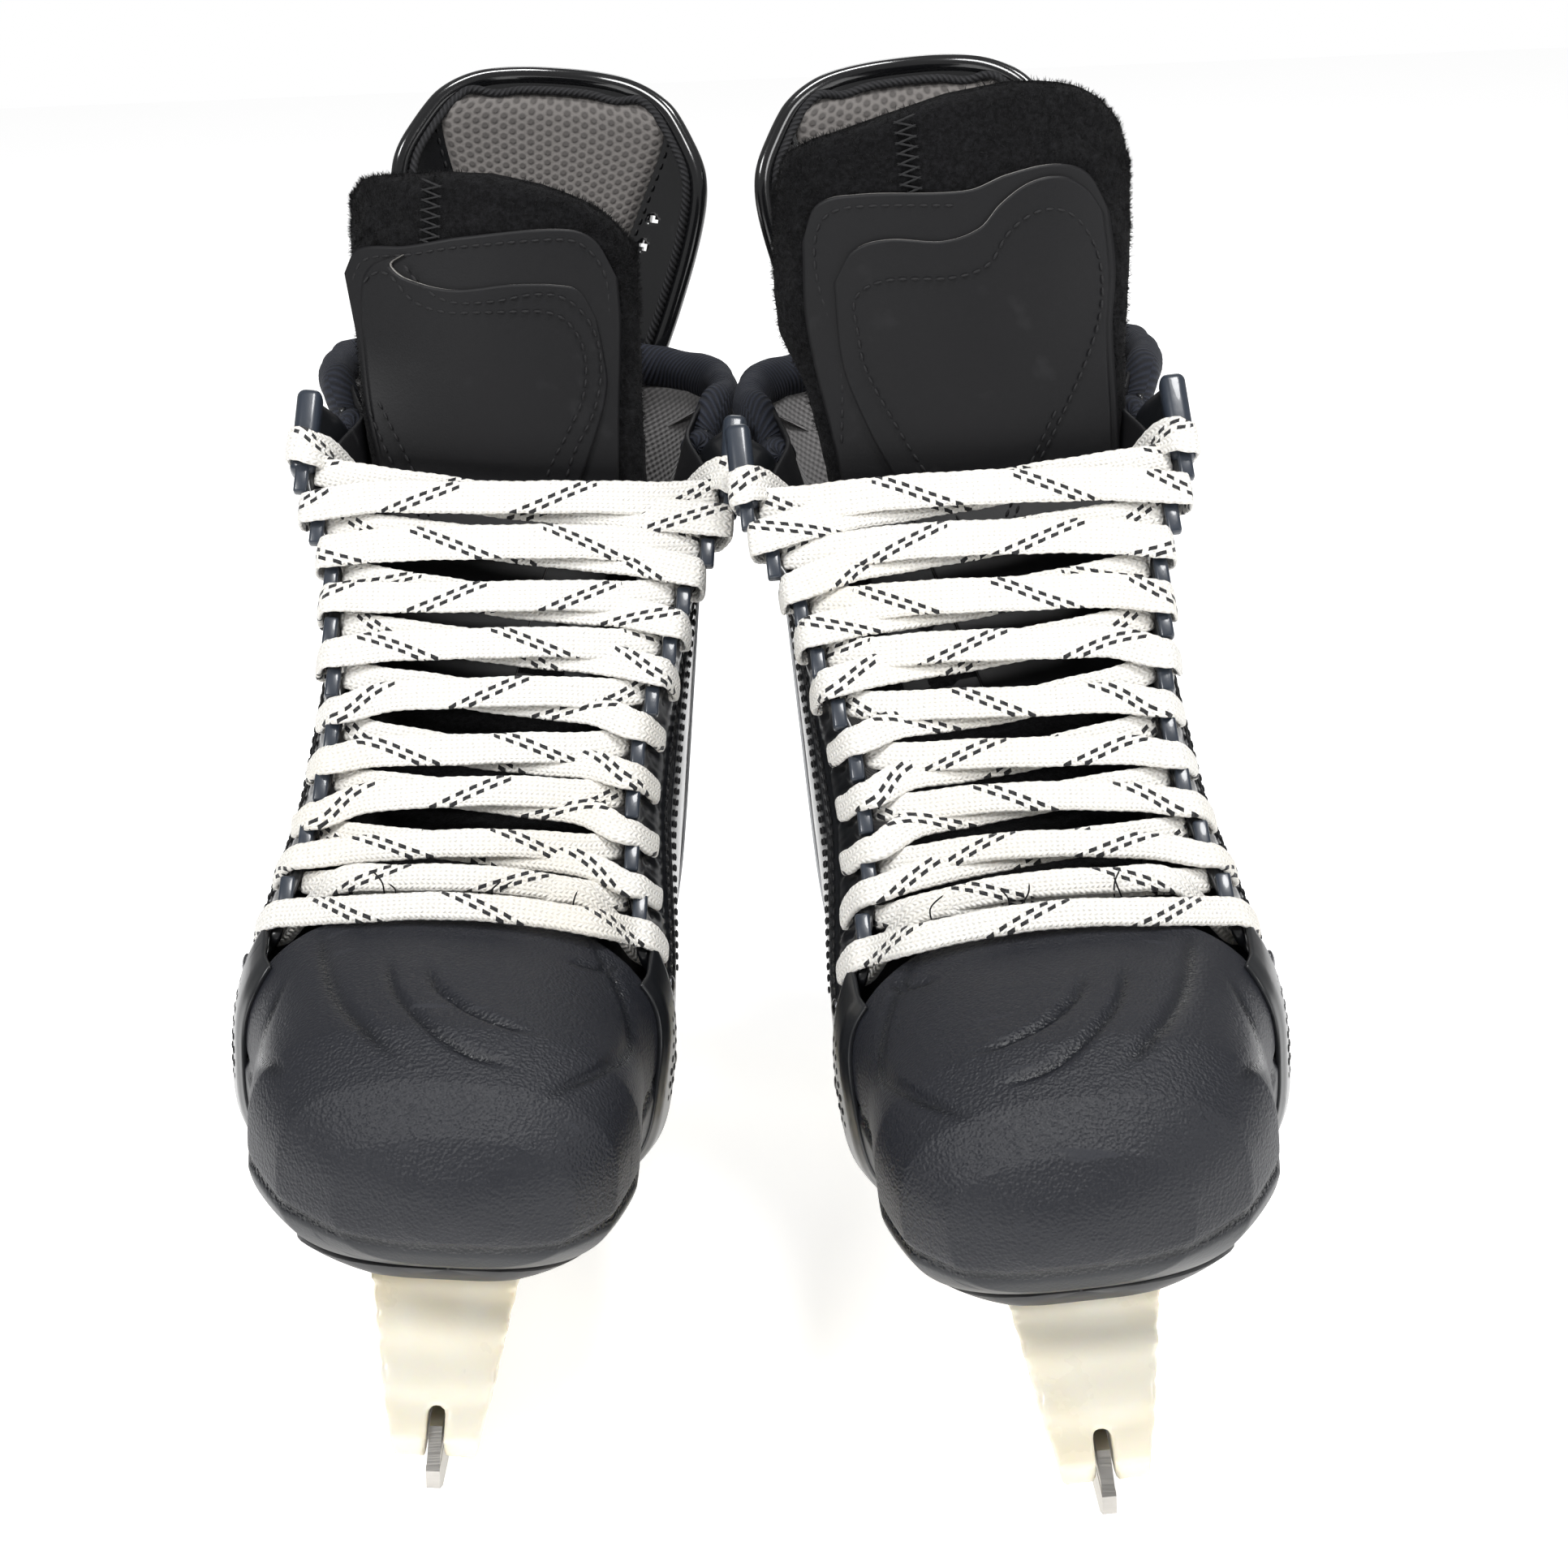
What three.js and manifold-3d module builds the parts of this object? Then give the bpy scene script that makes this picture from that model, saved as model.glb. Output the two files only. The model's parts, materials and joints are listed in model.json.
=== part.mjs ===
// A pair of ice hockey skates standing on their runners and leaning on each other, toes towards -Y.
// Millimetres, +Z up. One skate is built upright in its own frame, +X towards the other skate,
// and the pair is two such skates, one of them mirrored, each tipped a little towards the other.
import * as THREE from "three";
import { mergeVertices } from "three/addons/utils/BufferGeometryUtils.js";
import Module from "manifold-3d";

const wasm = await Module();
wasm.setup();

// ---------- driving dimensions ----------
const gap = 0.3; // between pieces that touch

const bootLength = 290;
const toeY = -bootLength / 2;
const frontSole = 57; // underside of the boot above the ice at the ball of the foot
const heelSole = 71; // and under the heel
const facingTop = 208; // upper corners of the lace facings
const toeWidth = 85;
const ballWidth = 99;
const waistWidth = 90;
const ankleWidth = 92;
const collarWidth = 114.8;
const toeRound = 40; // how far back the rounded toe reaches
const facingStart = 78.88; // behind the toe tip, where the lacing begins
const toeHeight = 59; // of the toe cap at its rear edge, above the sole
const shellWall = 4.5;
const outsoleThickness = 3;
const outsoleStart = 16; // behind the toe tip
const footbedThickness = 4;

const facingDepth = 17;
const facingThickness = 3;
const eyeletRows = 10;
const eyeletInset = 7; // behind the facing's free edge
const laceRadius = 1.6;
const eyeletRadius = laceRadius + 1.6;

const tongueThickness = 8;
const coverThickness = 1.8;
const coverDrop = 13; // how much lower the cover ends than the felt
const tongueHingeZ = facingTop - 10;
const tongueLean = 8; // its top stands this far behind its foot

const guardBase = facingTop - 17.6;
const guardTop = guardBase + 95.6;
const guardThickness = 4;
const guardWidth = 82;
const guardPadThickness = 5;

const railBottom = 14;
const railTop = 30;
const railWidth = 18;
const towerWidth = 33;
const flangeThickness = 4;
const holderFront = -133;
const holderRear = 141;
const runnerThickness = 3;
const tangThickness = 2.8; // of the part of the runner inside the holder
const runnerTop = 24;
const runnerFront = -134;
const runnerRear = 140;
const rockerRadius = 3200;
const slotClearance = 0.4;
const rivetRadius = 2;
const rivetHead = 4;
const pinRadius = 1.5;
const pinY = 80;
const pinZ = 41;
const triggerWidth = 6;

const pairNesting = 12.4; // sideways; one boot is ahead, so their fullest points pass each other
const rightLean = 5.74; // degrees towards the other skate
const leftLean = 4.39;
const stagger = 20.8; // the left skate stands this far ahead

// ---------- finishes ----------
const finish = (color, roughness, metalness = 0) =>
  new THREE.MeshStandardMaterial({ color, roughness, metalness });
const glossBlack = finish(0x101114, 0.28);
const matteBlack = finish(0x2b2d31, 0.62);
const slate = finish(0x2a2f38, 0.4);
const feltBlack = finish(0x0d0d0e, 0.95);
const leatherBlack = finish(0x141416, 0.55);
const meshGrey = finish(0x6a6462, 0.85);
const creamPlastic = finish(0xf2ead2, 0.35);
const steel = finish(0xa09a94, 0.25, 1);
const laceWhite = finish(0xefeae0, 0.9);

// ---------- shapes and joins ----------
function clean(geometry) {
  const bare = geometry.clone();
  bare.deleteAttribute("normal");
  bare.deleteAttribute("uv");
  return mergeVertices(bare, 1e-4);
}

// Turns every face of a closed geometry the other way when its volume comes out negative.
function outward(geometry) {
  const p = geometry.getAttribute("position");
  const index = geometry.index.array;
  const [a, b, c] = [0, 1, 2].map(() => new THREE.Vector3());
  let volume = 0;
  for (let i = 0; i < index.length; i += 3) {
    a.fromBufferAttribute(p, index[i]);
    b.fromBufferAttribute(p, index[i + 1]);
    c.fromBufferAttribute(p, index[i + 2]);
    volume += a.dot(b.cross(c));
  }
  if (volume < 0) {
    for (let i = 0; i < index.length; i += 3) {
      [index[i + 1], index[i + 2]] = [index[i + 2], index[i + 1]];
    }
  }
  return geometry;
}

function solid(geometry) {
  const merged = clean(geometry);
  return new wasm.Manifold(
    new wasm.Mesh({
      numProp: 3,
      vertProperties: merged.getAttribute("position").array,
      triVerts: new Uint32Array(merged.index.array),
    }),
  );
}

function toGeometry(manifold) {
  const mesh = manifold.getMesh();
  const geometry = new THREE.BufferGeometry();
  geometry.setAttribute("position", new THREE.BufferAttribute(mesh.vertProperties, 3));
  geometry.setIndex(new THREE.BufferAttribute(mesh.triVerts, 1));
  geometry.computeVertexNormals();
  return geometry;
}

function subtract(from, ...tools) {
  let result = solid(from);
  for (const tool of tools) result = result.subtract(solid(tool));
  return toGeometry(result);
}

// A closed solid through a row of rings. place(i, s, c) gives the point of ring i at an angle
// whose sine and cosine are s and c; a ring's end cap is centred on the mean of its two ends.
function loft(count, sides, place) {
  const geometry = new THREE.CylinderGeometry(1, 1, 1, sides, count - 1);
  const position = geometry.getAttribute("position");
  const point = new THREE.Vector3();
  for (let v = 0; v < position.count; v++) {
    point.fromBufferAttribute(position, v);
    const ring = Math.round((0.5 - point.y) * (count - 1));
    const step = (Math.round((Math.atan2(point.x, point.z) / Math.PI / 2) * sides) + sides) % sides;
    const angle = (step / sides) * Math.PI * 2;
    if (Math.hypot(point.x, point.z) < 0.5) {
      point.copy(place(ring, 0, 1)).add(place(ring, 0, -1)).multiplyScalar(0.5);
    } else {
      point.copy(place(ring, Math.sin(angle), Math.cos(angle)));
    }
    position.setXYZ(v, point.x, point.y, point.z);
  }
  return outward(clean(geometry));
}

// A plate whose side view is a closed outline in the YZ plane; halfWidth(y, z) gives how far
// it reaches to each side of centre(y).
function across(outline, halfWidth, centre = () => 0) {
  const shape = new THREE.Shape(outline.map(([y, z]) => new THREE.Vector2(y, z)));
  const geometry = new THREE.ExtrudeGeometry(shape, { depth: 2, bevelEnabled: false });
  const position = geometry.getAttribute("position");
  for (let v = 0; v < position.count; v++) {
    const [y, z, side] = [position.getX(v), position.getY(v), position.getZ(v) - 1];
    position.setXYZ(v, centre(y) + side * halfWidth(y, z), y, z);
  }
  return outward(clean(geometry));
}

const block = (x0, x1, y0, y1, z0, z1) =>
  clean(
    new THREE.BoxGeometry(x1 - x0, y1 - y0, z1 - z0).translate(
      (x0 + x1) / 2,
      (y0 + y1) / 2,
      (z0 + z1) / 2,
    ),
  );

const mix = (a, b, t) => a + (b - a) * t;
const clamp = (v, low, high) => Math.min(Math.max(v, low), high);

// Reads a broken line [[x, value...], ...] at x.
function along(line, x) {
  const last = line.length - 2;
  let i = 0;
  while (i < last && x > line[i + 1][0]) i++;
  const t = clamp((x - line[i][0]) / (line[i + 1][0] - line[i][0]), 0, 1);
  return line[i].slice(1).map((value, k) => mix(value, line[i + 1][k + 1], t));
}

// ---------- the boot's surface ----------
// Rings fan out from the instep: each has a front point on the instep ridge and a back point
// on the sole or heel line, a half-width, and the share of the way back where it is widest.
const station = (s) => toeY + s * bootLength;
const rise = (h) => frontSole + h * (facingTop - frontSole);
const onHeel = (h) => heelSole + h * (facingTop - heelSole);
const capTop = frontSole + toeHeight;
const toeHalf = (back) =>
  (toeWidth / 2) * (1 - (1 - clamp(back / toeRound, 0, 1)) ** 2.4) ** (1 / 2.4);
const toeRing = (back, top, bottom, shift) => ({
  front: [toeY + back, frontSole + top * toeHeight],
  back: [toeY + back, frontSole + bottom * toeHeight],
  half: toeHalf(back),
  shift,
  widest: 0.5,
  roundTop: 2.5,
  roundBottom: 3,
});
const upperRing = (front, back, half, shift, widest, roundTop, roundBottom) => ({
  front,
  back,
  half,
  shift,
  widest,
  roundTop,
  roundBottom,
});
const bootRings = [
  toeRing(0.6, 0.5, 0.27, 4),
  toeRing(5, 0.63, 0.145, 3),
  toeRing(14, 0.77, 0.06, 1),
  toeRing(28, 0.88, 0.02, -1),
  toeRing(50, 0.95, 0, -2),
  upperRing([station(0.25), capTop], [station(0.25), frontSole], ballWidth * 0.485, -3, 0.55, 2.6, 4),
  upperRing([station(0.33), rise(0.49)], [station(0.33), frontSole], ballWidth / 2, -3, 0.6, 2.6, 4),
  upperRing([station(0.415), rise(0.64)], [station(0.45), rise(0.013)], ballWidth * 0.47, -1, 0.6, 2.7, 4),
  upperRing([station(0.5), rise(0.83)], [station(0.6), rise(0.05)], waistWidth / 2, 1, 0.5, 3.4, 3.6),
  upperRing([station(0.545), rise(0.97)], [station(0.7), heelSole], waistWidth / 2, 1, 0.35, 4.4, 3.6),
  upperRing([station(0.57), rise(1.06)], [station(0.92), heelSole], ankleWidth * 0.49, 1, 0.25, 5, 3),
  upperRing([station(0.583), rise(1.11)], [station(0.988), onHeel(0.09)], ankleWidth / 2, 1, 0.25, 5, 2.3),
  upperRing([station(0.593), rise(1.15)], [station(1), onHeel(0.27)], ankleWidth * 0.52, 0, 0.25, 5, 2.3),
  upperRing([station(0.6), rise(1.18)], [station(0.986), onHeel(0.57)], collarWidth * 0.46, 0, 0.25, 5, 2.3),
  upperRing([station(0.603), rise(1.2)], [station(0.973), onHeel(0.84)], collarWidth * 0.49, -1, 0.28, 5, 2.3),
  upperRing([station(0.607), rise(1.25)], [station(0.973), onHeel(1.13)], collarWidth / 2, -1, 0.28, 5, 2.3),
];

// The ring set moved inwards by a wall, or outwards by a negative one.
function moved(wall) {
  const toeEnd = bootRings[5].front[0];
  return bootRings.map((ring) => {
    const [fy, fz] = ring.front;
    const [by, bz] = ring.back;
    const length = Math.hypot(by - fy, bz - fz);
    const [uy, uz] = [((by - fy) / length) * wall, ((bz - fz) / length) * wall];
    const push = wall * clamp((toeEnd - fy) / (toeEnd - toeY), 0, 1);
    return {
      ...ring,
      front: [fy + uy + push, fz + uz],
      back: [by - uy + push, bz - uz],
      half: Math.max(ring.half - wall, 2),
    };
  });
}

const power = (v, exponent) => Math.sign(v) * Math.abs(v) ** exponent;

function ringPoint(ring, s, c) {
  const round = c > 0 ? ring.roundTop : ring.roundBottom;
  const reach = c > 0 ? ring.widest : 1 - ring.widest;
  const t = ring.widest - reach * power(c, 2 / round);
  return new THREE.Vector3(
    ring.shift + ring.half * power(s, 2 / round),
    mix(ring.front[0], ring.back[0], t),
    mix(ring.front[1], ring.back[1], t),
  );
}

const bootSides = 20;
const bootSolid = (wall) => {
  const rings = moved(wall);
  return loft(rings.length, bootSides, (i, s, c) => ringPoint(rings[i], s, c));
};

// The surface's half-width and centre at a side-view point, found between the two rings it is in.
function surfaceAt(y, z, wall = 0) {
  const rings = moved(wall);
  const at = (k) => {
    const i = Math.min(Math.floor(k), rings.length - 2);
    const [a, b] = [rings[i], rings[i + 1]];
    const blend = (key) => mix(a[key], b[key], k - i);
    const pair = (key) => [0, 1].map((n) => mix(a[key][n], b[key][n], k - i));
    return {
      front: pair("front"),
      back: pair("back"),
      half: blend("half"),
      shift: blend("shift"),
      widest: blend("widest"),
      roundTop: blend("roundTop"),
      roundBottom: blend("roundBottom"),
    };
  };
  const ahead = ({ front, back }) =>
    (back[0] - front[0]) * (z - front[1]) - (back[1] - front[1]) * (y - front[0]);
  let [low, high] = [0, rings.length - 1];
  for (let n = 0; n < 30; n++) {
    const middle = (low + high) / 2;
    if (ahead(at(middle)) > 0) low = middle;
    else high = middle;
  }
  const ring = at(low);
  const length = Math.hypot(ring.back[0] - ring.front[0], ring.back[1] - ring.front[1]);
  const t = clamp(Math.hypot(y - ring.front[0], z - ring.front[1]) / length, 0, 1);
  const inFront = t < ring.widest;
  const round = inFront ? ring.roundTop : ring.roundBottom;
  const reach = inFront ? ring.widest : 1 - ring.widest;
  const u = Math.abs(t - ring.widest) / reach;
  return { half: ring.half * (1 - u ** round) ** (1 / round), centre: ring.shift };
}

// The sole line between two stations along the foot, as [y, z] points with a drop below it.
const soleRings = (wall) => moved(wall).slice(0, 12);
function soleLine(from, to, drop, wall = 0) {
  const line = soleRings(wall).map((ring) => ring.back);
  const inner = line.filter(([y]) => y > from + 1 && y < to - 1);
  const end = (y) => [y, along(line, y)[0]];
  return [end(from), ...inner, end(to)].map(([y, z]) => [y, z - drop]);
}

// ---------- the facings' free edge and the collar line, in side view ----------
const facingEdge = [
  [toeY + facingStart, rise(0.325)],
  [station(0.362), rise(0.49)],
  [station(0.448), rise(0.668)],
  [station(0.528), rise(0.84)],
  [station(0.593), rise(1)],
];
const tongueHingeY = facingEdge[4][0] + 1.03; // just inside the facings' upper corners
const edgeCurve = new THREE.SplineCurve(facingEdge.map(([y, z]) => new THREE.Vector2(y, z)));

// A point t of the way up the free edge, moved back into the boot's side by depth.
function edgePoint(t, depth) {
  const point = edgeCurve.getPointAt(clamp(t, 0, 1));
  const tangent = edgeCurve.getTangentAt(clamp(t, 0, 1));
  return [point.x + tangent.y * depth, point.y - tangent.x * depth];
}

const bandSteps = 9;
const band = Array.from({ length: bandSteps + 1 }, (_, i) => edgePoint(i / bandSteps, facingDepth + gap));
const guardHingeY = station(0.973);
const collarFront = band[bandSteps];
const collarLine = [
  collarFront,
  [station(0.707), facingTop - 4],
  [station(0.845), facingTop - 3],
  [station(0.9), facingTop - 8],
  [station(0.92), guardBase - gap],
];
const far = 400;

// ---------- the boot: shell, toe cap, outsole, heel counter ----------
// The toe cap and the shell meet on a plane that slopes forward towards the sole.
const capSeam = [
  [toeY + facingStart - 3.88, capTop + 1],
  [toeY + facingStart - 21.88, frontSole],
];
const seamSlope = (capSeam[0][0] - capSeam[1][0]) / (capSeam[0][1] - capSeam[1][1]);
const seamY = (z, offset) => capSeam[1][0] + (z - capSeam[1][1]) * seamSlope + offset;
const behindSeam = across(
  [
    [far, -far],
    [far, far],
    [seamY(far, -gap), far],
    [seamY(-far, -gap), -far],
  ],
  () => far,
);
const beforeSeam = across(
  [
    [-far, -far],
    [seamY(-far, 0), -far],
    [seamY(far, 0), far],
    [-far, far],
  ],
  () => far,
);
const throatAndCollar = across(
  [[-far, far], [-far, band[0][1]], ...band, ...collarLine.slice(1), [far, guardBase - gap], [far, far]],
  () => far,
);
const cavity = bootSolid(shellWall);
const bootShell = () => subtract(bootSolid(0), cavity, beforeSeam, throatAndCollar);
const toeCap = () => subtract(bootSolid(0), cavity, behindSeam);

const counterThickness = 2;
function heelCounter() {
  const keep = across(
    [
      [station(0.86), heelSole + 4],
      [station(1) + 20, heelSole + 4],
      [station(1) + 20, onHeel(0.42)],
      [station(0.93), onHeel(0.42)],
    ],
    () => far,
  );
  const skin = solid(bootSolid(-counterThickness - gap)).subtract(solid(bootSolid(-gap)));
  return toGeometry(skin.intersect(solid(keep)));
}

const rivetSpots = [
  [station(0.16), 20],
  [station(0.3), 21],
  [station(0.75), 17],
  [station(0.9), 17],
];
const rivetHole = (x, y, z) =>
  new THREE.CylinderGeometry(rivetRadius + gap, rivetRadius + gap, 30, 6)
    .rotateX(Math.PI / 2)
    .translate(x, y, z);
const rivetHoles = () =>
  rivetSpots.flatMap(([y, x]) =>
    [-x, x].map((side) => rivetHole(side, y, y < 0 ? frontSole : heelSole)),
  );

function outsole() {
  const top = soleLine(toeY + outsoleStart, station(0.93), gap);
  const bottom = soleLine(toeY + outsoleStart, station(0.93), gap + outsoleThickness);
  const half = (y, z) => surfaceAt(y, Math.max(z, frontSole) + 9).half * 0.86;
  const centre = (y) => surfaceAt(y, frontSole + 12).centre;
  return subtract(across([...top, ...bottom.reverse()], half, centre), ...rivetHoles());
}

function footbed() {
  const [from, to] = [toeY + 24, station(0.88)];
  const lift = -gap - 2;
  const bottom = soleLine(from, to, lift, shellWall);
  const top = soleLine(from, to, lift - footbedThickness, shellWall);
  const half = (y, z) => surfaceAt(y, z, shellWall).half * 0.8 - 1.6;
  const centre = (y) => surfaceAt(y, frontSole + 12).centre;
  const halfAtFloor = (y) => half(y, along(bottom, y)[0]);
  return across([...bottom, ...top.slice().reverse()], halfAtFloor, centre);
}

// ---------- facings with their eyelets, and the lace through them ----------
const rowShare = (row) => mix(0.035, 0.93, row / (eyeletRows - 1));

// The facings splay: how far each free edge stands out from the boot's own curve, at t of the way up.
const facingSplay = [
  [0, 0],
  [0.25, 3.4],
  [0.5, 10.5],
  [0.75, 11.5],
  [1, 12.5],
];

// A point on a facing's strip, t of the way up it: depth back from its free edge, and inwards
// from its outer face. The strip is straight from its free edge to where it meets the shell.
function stripPoint(side, t, depth, inwards) {
  const [edge, foot] = [0, facingDepth].map((d) => {
    const { half, centre } = surfaceAt(...edgePoint(t, d));
    const out = d === 0 ? along(facingSplay, t)[0] : 0;
    return centre + side * (half + out - inwards);
  });
  return new THREE.Vector3(mix(edge, foot, depth / facingDepth), ...edgePoint(t, depth));
}

function facing(side) {
  const steps = 10;
  const strip = loft(steps + 1, 4, (i, s, c) => {
    const [inner, foot] = [c - s, c + s].map((v) => (v > 0 ? 1 : 0));
    return stripPoint(side, i / steps, foot * facingDepth, inner * facingThickness);
  });
  const holes = Array.from({ length: eyeletRows }, (_, row) => {
    const at = stripPoint(side, rowShare(row), eyeletInset, 0);
    return new THREE.CylinderGeometry(eyeletRadius, eyeletRadius, 16, 6)
      .rotateZ(Math.PI / 2)
      .translate(at.x, at.y, at.z);
  });
  return subtract(strip, ...holes);
}

// A curve that runs straight from point to point, one step each.
class Route extends THREE.Curve {
  constructor(points) {
    super();
    this.points = points;
  }
  getPoint(t, target = new THREE.Vector3()) {
    const place = clamp(t, 0, 1) * (this.points.length - 1);
    const i = Math.min(Math.floor(place), this.points.length - 2);
    return target.lerpVectors(this.points[i], this.points[i + 1], place - i);
  }
  getPointAt(u, target) {
    return this.getPoint(u, target);
  }
  getTangentAt(u, target = new THREE.Vector3()) {
    const step = 0.5 / (this.points.length - 1);
    const ahead = this.getPoint(Math.min(u + step, 1));
    return target.copy(ahead).sub(this.getPoint(Math.max(u - step, 0))).normalize();
  }
}

function tube(points, radius, sides) {
  const section = new THREE.Shape(
    Array.from({ length: sides }, (_, i) => {
      const angle = (i / sides) * Math.PI * 2;
      return new THREE.Vector2(radius * Math.cos(angle), radius * Math.sin(angle));
    }),
  );
  const path = new Route(points);
  const options = { steps: points.length - 1, extrudePath: path, bevelEnabled: false };
  return outward(clean(new THREE.ExtrudeGeometry(section, options)));
}

const laceClear = laceRadius * 1.9375;
const insideFacing = facingThickness + laceClear;

// Near the toe the tongue is crowned up to the toe cap's height, and the lace passes over it.
const crown = (share) => 14 * Math.max(0, 1 - share / 0.4) ** 2;

// One end of the lace zigzags up from the lowest row, over a free edge and in behind the next.
function laceStrand(startSide, over) {
  const points = [];
  let side = startSide;
  for (let row = 0; row < eyeletRows - 1; row++) {
    const [here, next] = [rowShare(row), rowShare(row + 1)];
    if (row > 0) points.push(stripPoint(side, here, eyeletInset, -laceClear));
    if (row > 0) points.push(stripPoint(side, here, -laceClear, 0.2 - laceClear));
    const lift = (row % 2 ? -1 : 1) * over * (laceRadius + 0.5);
    const middle = (here + next) / 2;
    const [y, z] = edgePoint(middle, -laceClear - 1 - lift - 0.9 * crown(middle));
    points.push(new THREE.Vector3(0, y, z));
    points.push(stripPoint(-side, next, eyeletInset, insideFacing));
    side = -side;
  }
  const top = rowShare(eyeletRows - 1);
  points.push(stripPoint(side, top, eyeletInset, -laceClear));
  points.push(stripPoint(side, top, -laceClear, 0.2 - laceClear));
  points.push(stripPoint(side, top + 0.01, -laceClear, insideFacing));
  points.push(stripPoint(side, top + 0.01, eyeletInset, insideFacing + 1));
  points.push(stripPoint(side, top - 0.02, eyeletInset + 14, insideFacing + 2));
  return points;
}

function lace() {
  const low = rowShare(0);
  const start = (side) => [
    stripPoint(side, low, -laceClear, 0.2 - laceClear),
    stripPoint(side, low, eyeletInset, -laceClear),
    stripPoint(side, low, eyeletInset, insideFacing),
  ];
  const bar = new THREE.Vector3(0, ...edgePoint(low + 0.03, -laceClear - 3 - 0.8 * crown(low)));
  const one = [...start(1), ...laceStrand(1, 1)];
  const other = [...start(-1), ...laceStrand(-1, -1)];
  return tube([...one.reverse(), bar, ...other], laceRadius, 8);
}

// ---------- tongue ----------
// A strip whose sides curl back: ring(t) gives its middle line, tilt, size and curl at each level.
function padStrip(count, columns, ring) {
  const geometry = new THREE.BoxGeometry(2, 1, 2, columns, count - 1, 1);
  const position = geometry.getAttribute("position");
  for (let v = 0; v < position.count; v++) {
    const level = Math.round((0.5 - position.getY(v)) * (count - 1));
    const { y, z, tiltY, tiltZ, half, thickness, curl, shift = 0 } = ring(level / (count - 1));
    const u = position.getX(v);
    const x = half * u;
    const edge = 1 - 0.7 * Math.abs(u) ** 5;
    const depth = (position.getZ(v) * edge * thickness) / 2 + curl * x * x;
    position.setXYZ(v, shift + x, y + tiltY * depth, z + tiltZ * depth);
  }
  return outward(clean(geometry));
}

// The padded base runs from the toe cap's rear edge, which carries it, up behind the facings.
const tongueDepth = 13; // its middle, behind the facings' free edge
function tongueBase() {
  const levels = [0.07, 0.16, 0.3, 0.45, 0.6, 0.78, 0.95];
  const seamLength = Math.hypot(seamSlope, 1);
  return padStrip(levels.length + 1, 6, (t) => {
    const level = Math.round(t * levels.length);
    if (level === 0) {
      const z = capTop - tongueThickness / 2;
      const tilt = { tiltY: -seamSlope / seamLength, tiltZ: -1 / seamLength };
      const half = ballWidth * 0.26;
      return { y: seamY(z, gap), z, ...tilt, half, thickness: tongueThickness, curl: 0.002 };
    }
    const share = levels[level - 1];
    const depth = tongueDepth - crown(share);
    const [y, z] = edgePoint(share, depth);
    const [oy, oz] = edgePoint(share, depth - 1);
    const [right, left] = [1, -1].map((k) => stripPoint(k, share, tongueDepth, facingThickness).x);
    const side = (right - left) / 2 - 2 * laceClear - 5 - 1.9 * crown(share);
    const size = { half: side, thickness: tongueThickness, curl: 0.002, shift: (right + left) / 2 };
    return { y, z, tiltY: y - oy, tiltZ: z - oz, ...size };
  });
}

// Above the lace the tongue stands almost upright; its foot is cut to a slope so it can tip back.
function tongueUpper({ top, half, shift, curl }, front, thickness, drop) {
  return padStrip(6, 6, (t) => {
    const z = mix(tongueHingeZ + gap, top - drop, t);
    const lean = (z - tongueHingeZ) / (top - tongueHingeZ);
    const y = tongueHingeY + front + thickness / 2 + tongueLean * lean;
    const round = t > 0.9 ? 0.8 : 1;
    const out = shift * lean;
    const spread = mix(collarWidth * 0.29, half, Math.min(lean * 2.5, 1));
    const foot = t === 0 ? 0.2 : 0;
    return {
      y,
      z,
      tiltY: 1,
      tiltZ: foot,
      half: spread * round - drop * 0.18,
      thickness,
      curl,
      shift: out,
    };
  });
}

// ---------- inside padding and collar roll ----------
const anklePadThickness = 7;
function anklePad(side) {
  const middleY = station(0.79);
  return loft(5, 10, (i, s, c) => {
    const z = mix(onHeel(0.32), onHeel(0.82), i / 4);
    const swell = [0.45, 0.85, 1, 0.9, 0.5][i];
    const y = middleY + 24 * swell * c;
    const { half, centre } = surfaceAt(y, z, shellWall);
    const depth = gap + 1.1 + (anklePadThickness / 2) * (1 + s) * mix(0.6, 1, swell);
    return new THREE.Vector3(centre + side * (half - depth), y, z);
  });
}

const rollRadius = 4.2;
function collarRoll() {
  const lift = rollRadius + 2 * gap;
  const spots = [0.66, 0.707, 0.76, 0.81, 0.845].map((s) => {
    const y = station(s);
    const z = along(collarLine, y)[0] + lift;
    const { half, centre } = surfaceAt(y, z - lift);
    return [half - shellWall / 2 - 0.5, y, z, centre];
  });
  const rearZ = spots[4][2];
  const side = (k) => spots.map(([x, y, z, centre]) => new THREE.Vector3(centre + k * x, y, z));
  const bend = [
    [0.76, 0.893],
    [0.42, 0.91],
  ].map(([share, s]) => [spots[4][0] * share, station(s), rearZ]);
  const turn = (k) => bend.map(([x, y, z]) => new THREE.Vector3(k * x, y, z));
  const points = [
    ...side(1),
    ...turn(1),
    new THREE.Vector3(0, station(0.913), rearZ),
    ...turn(-1).reverse(),
    ...side(-1).reverse(),
  ];
  return tube(points, rollRadius, 8);
}

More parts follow.
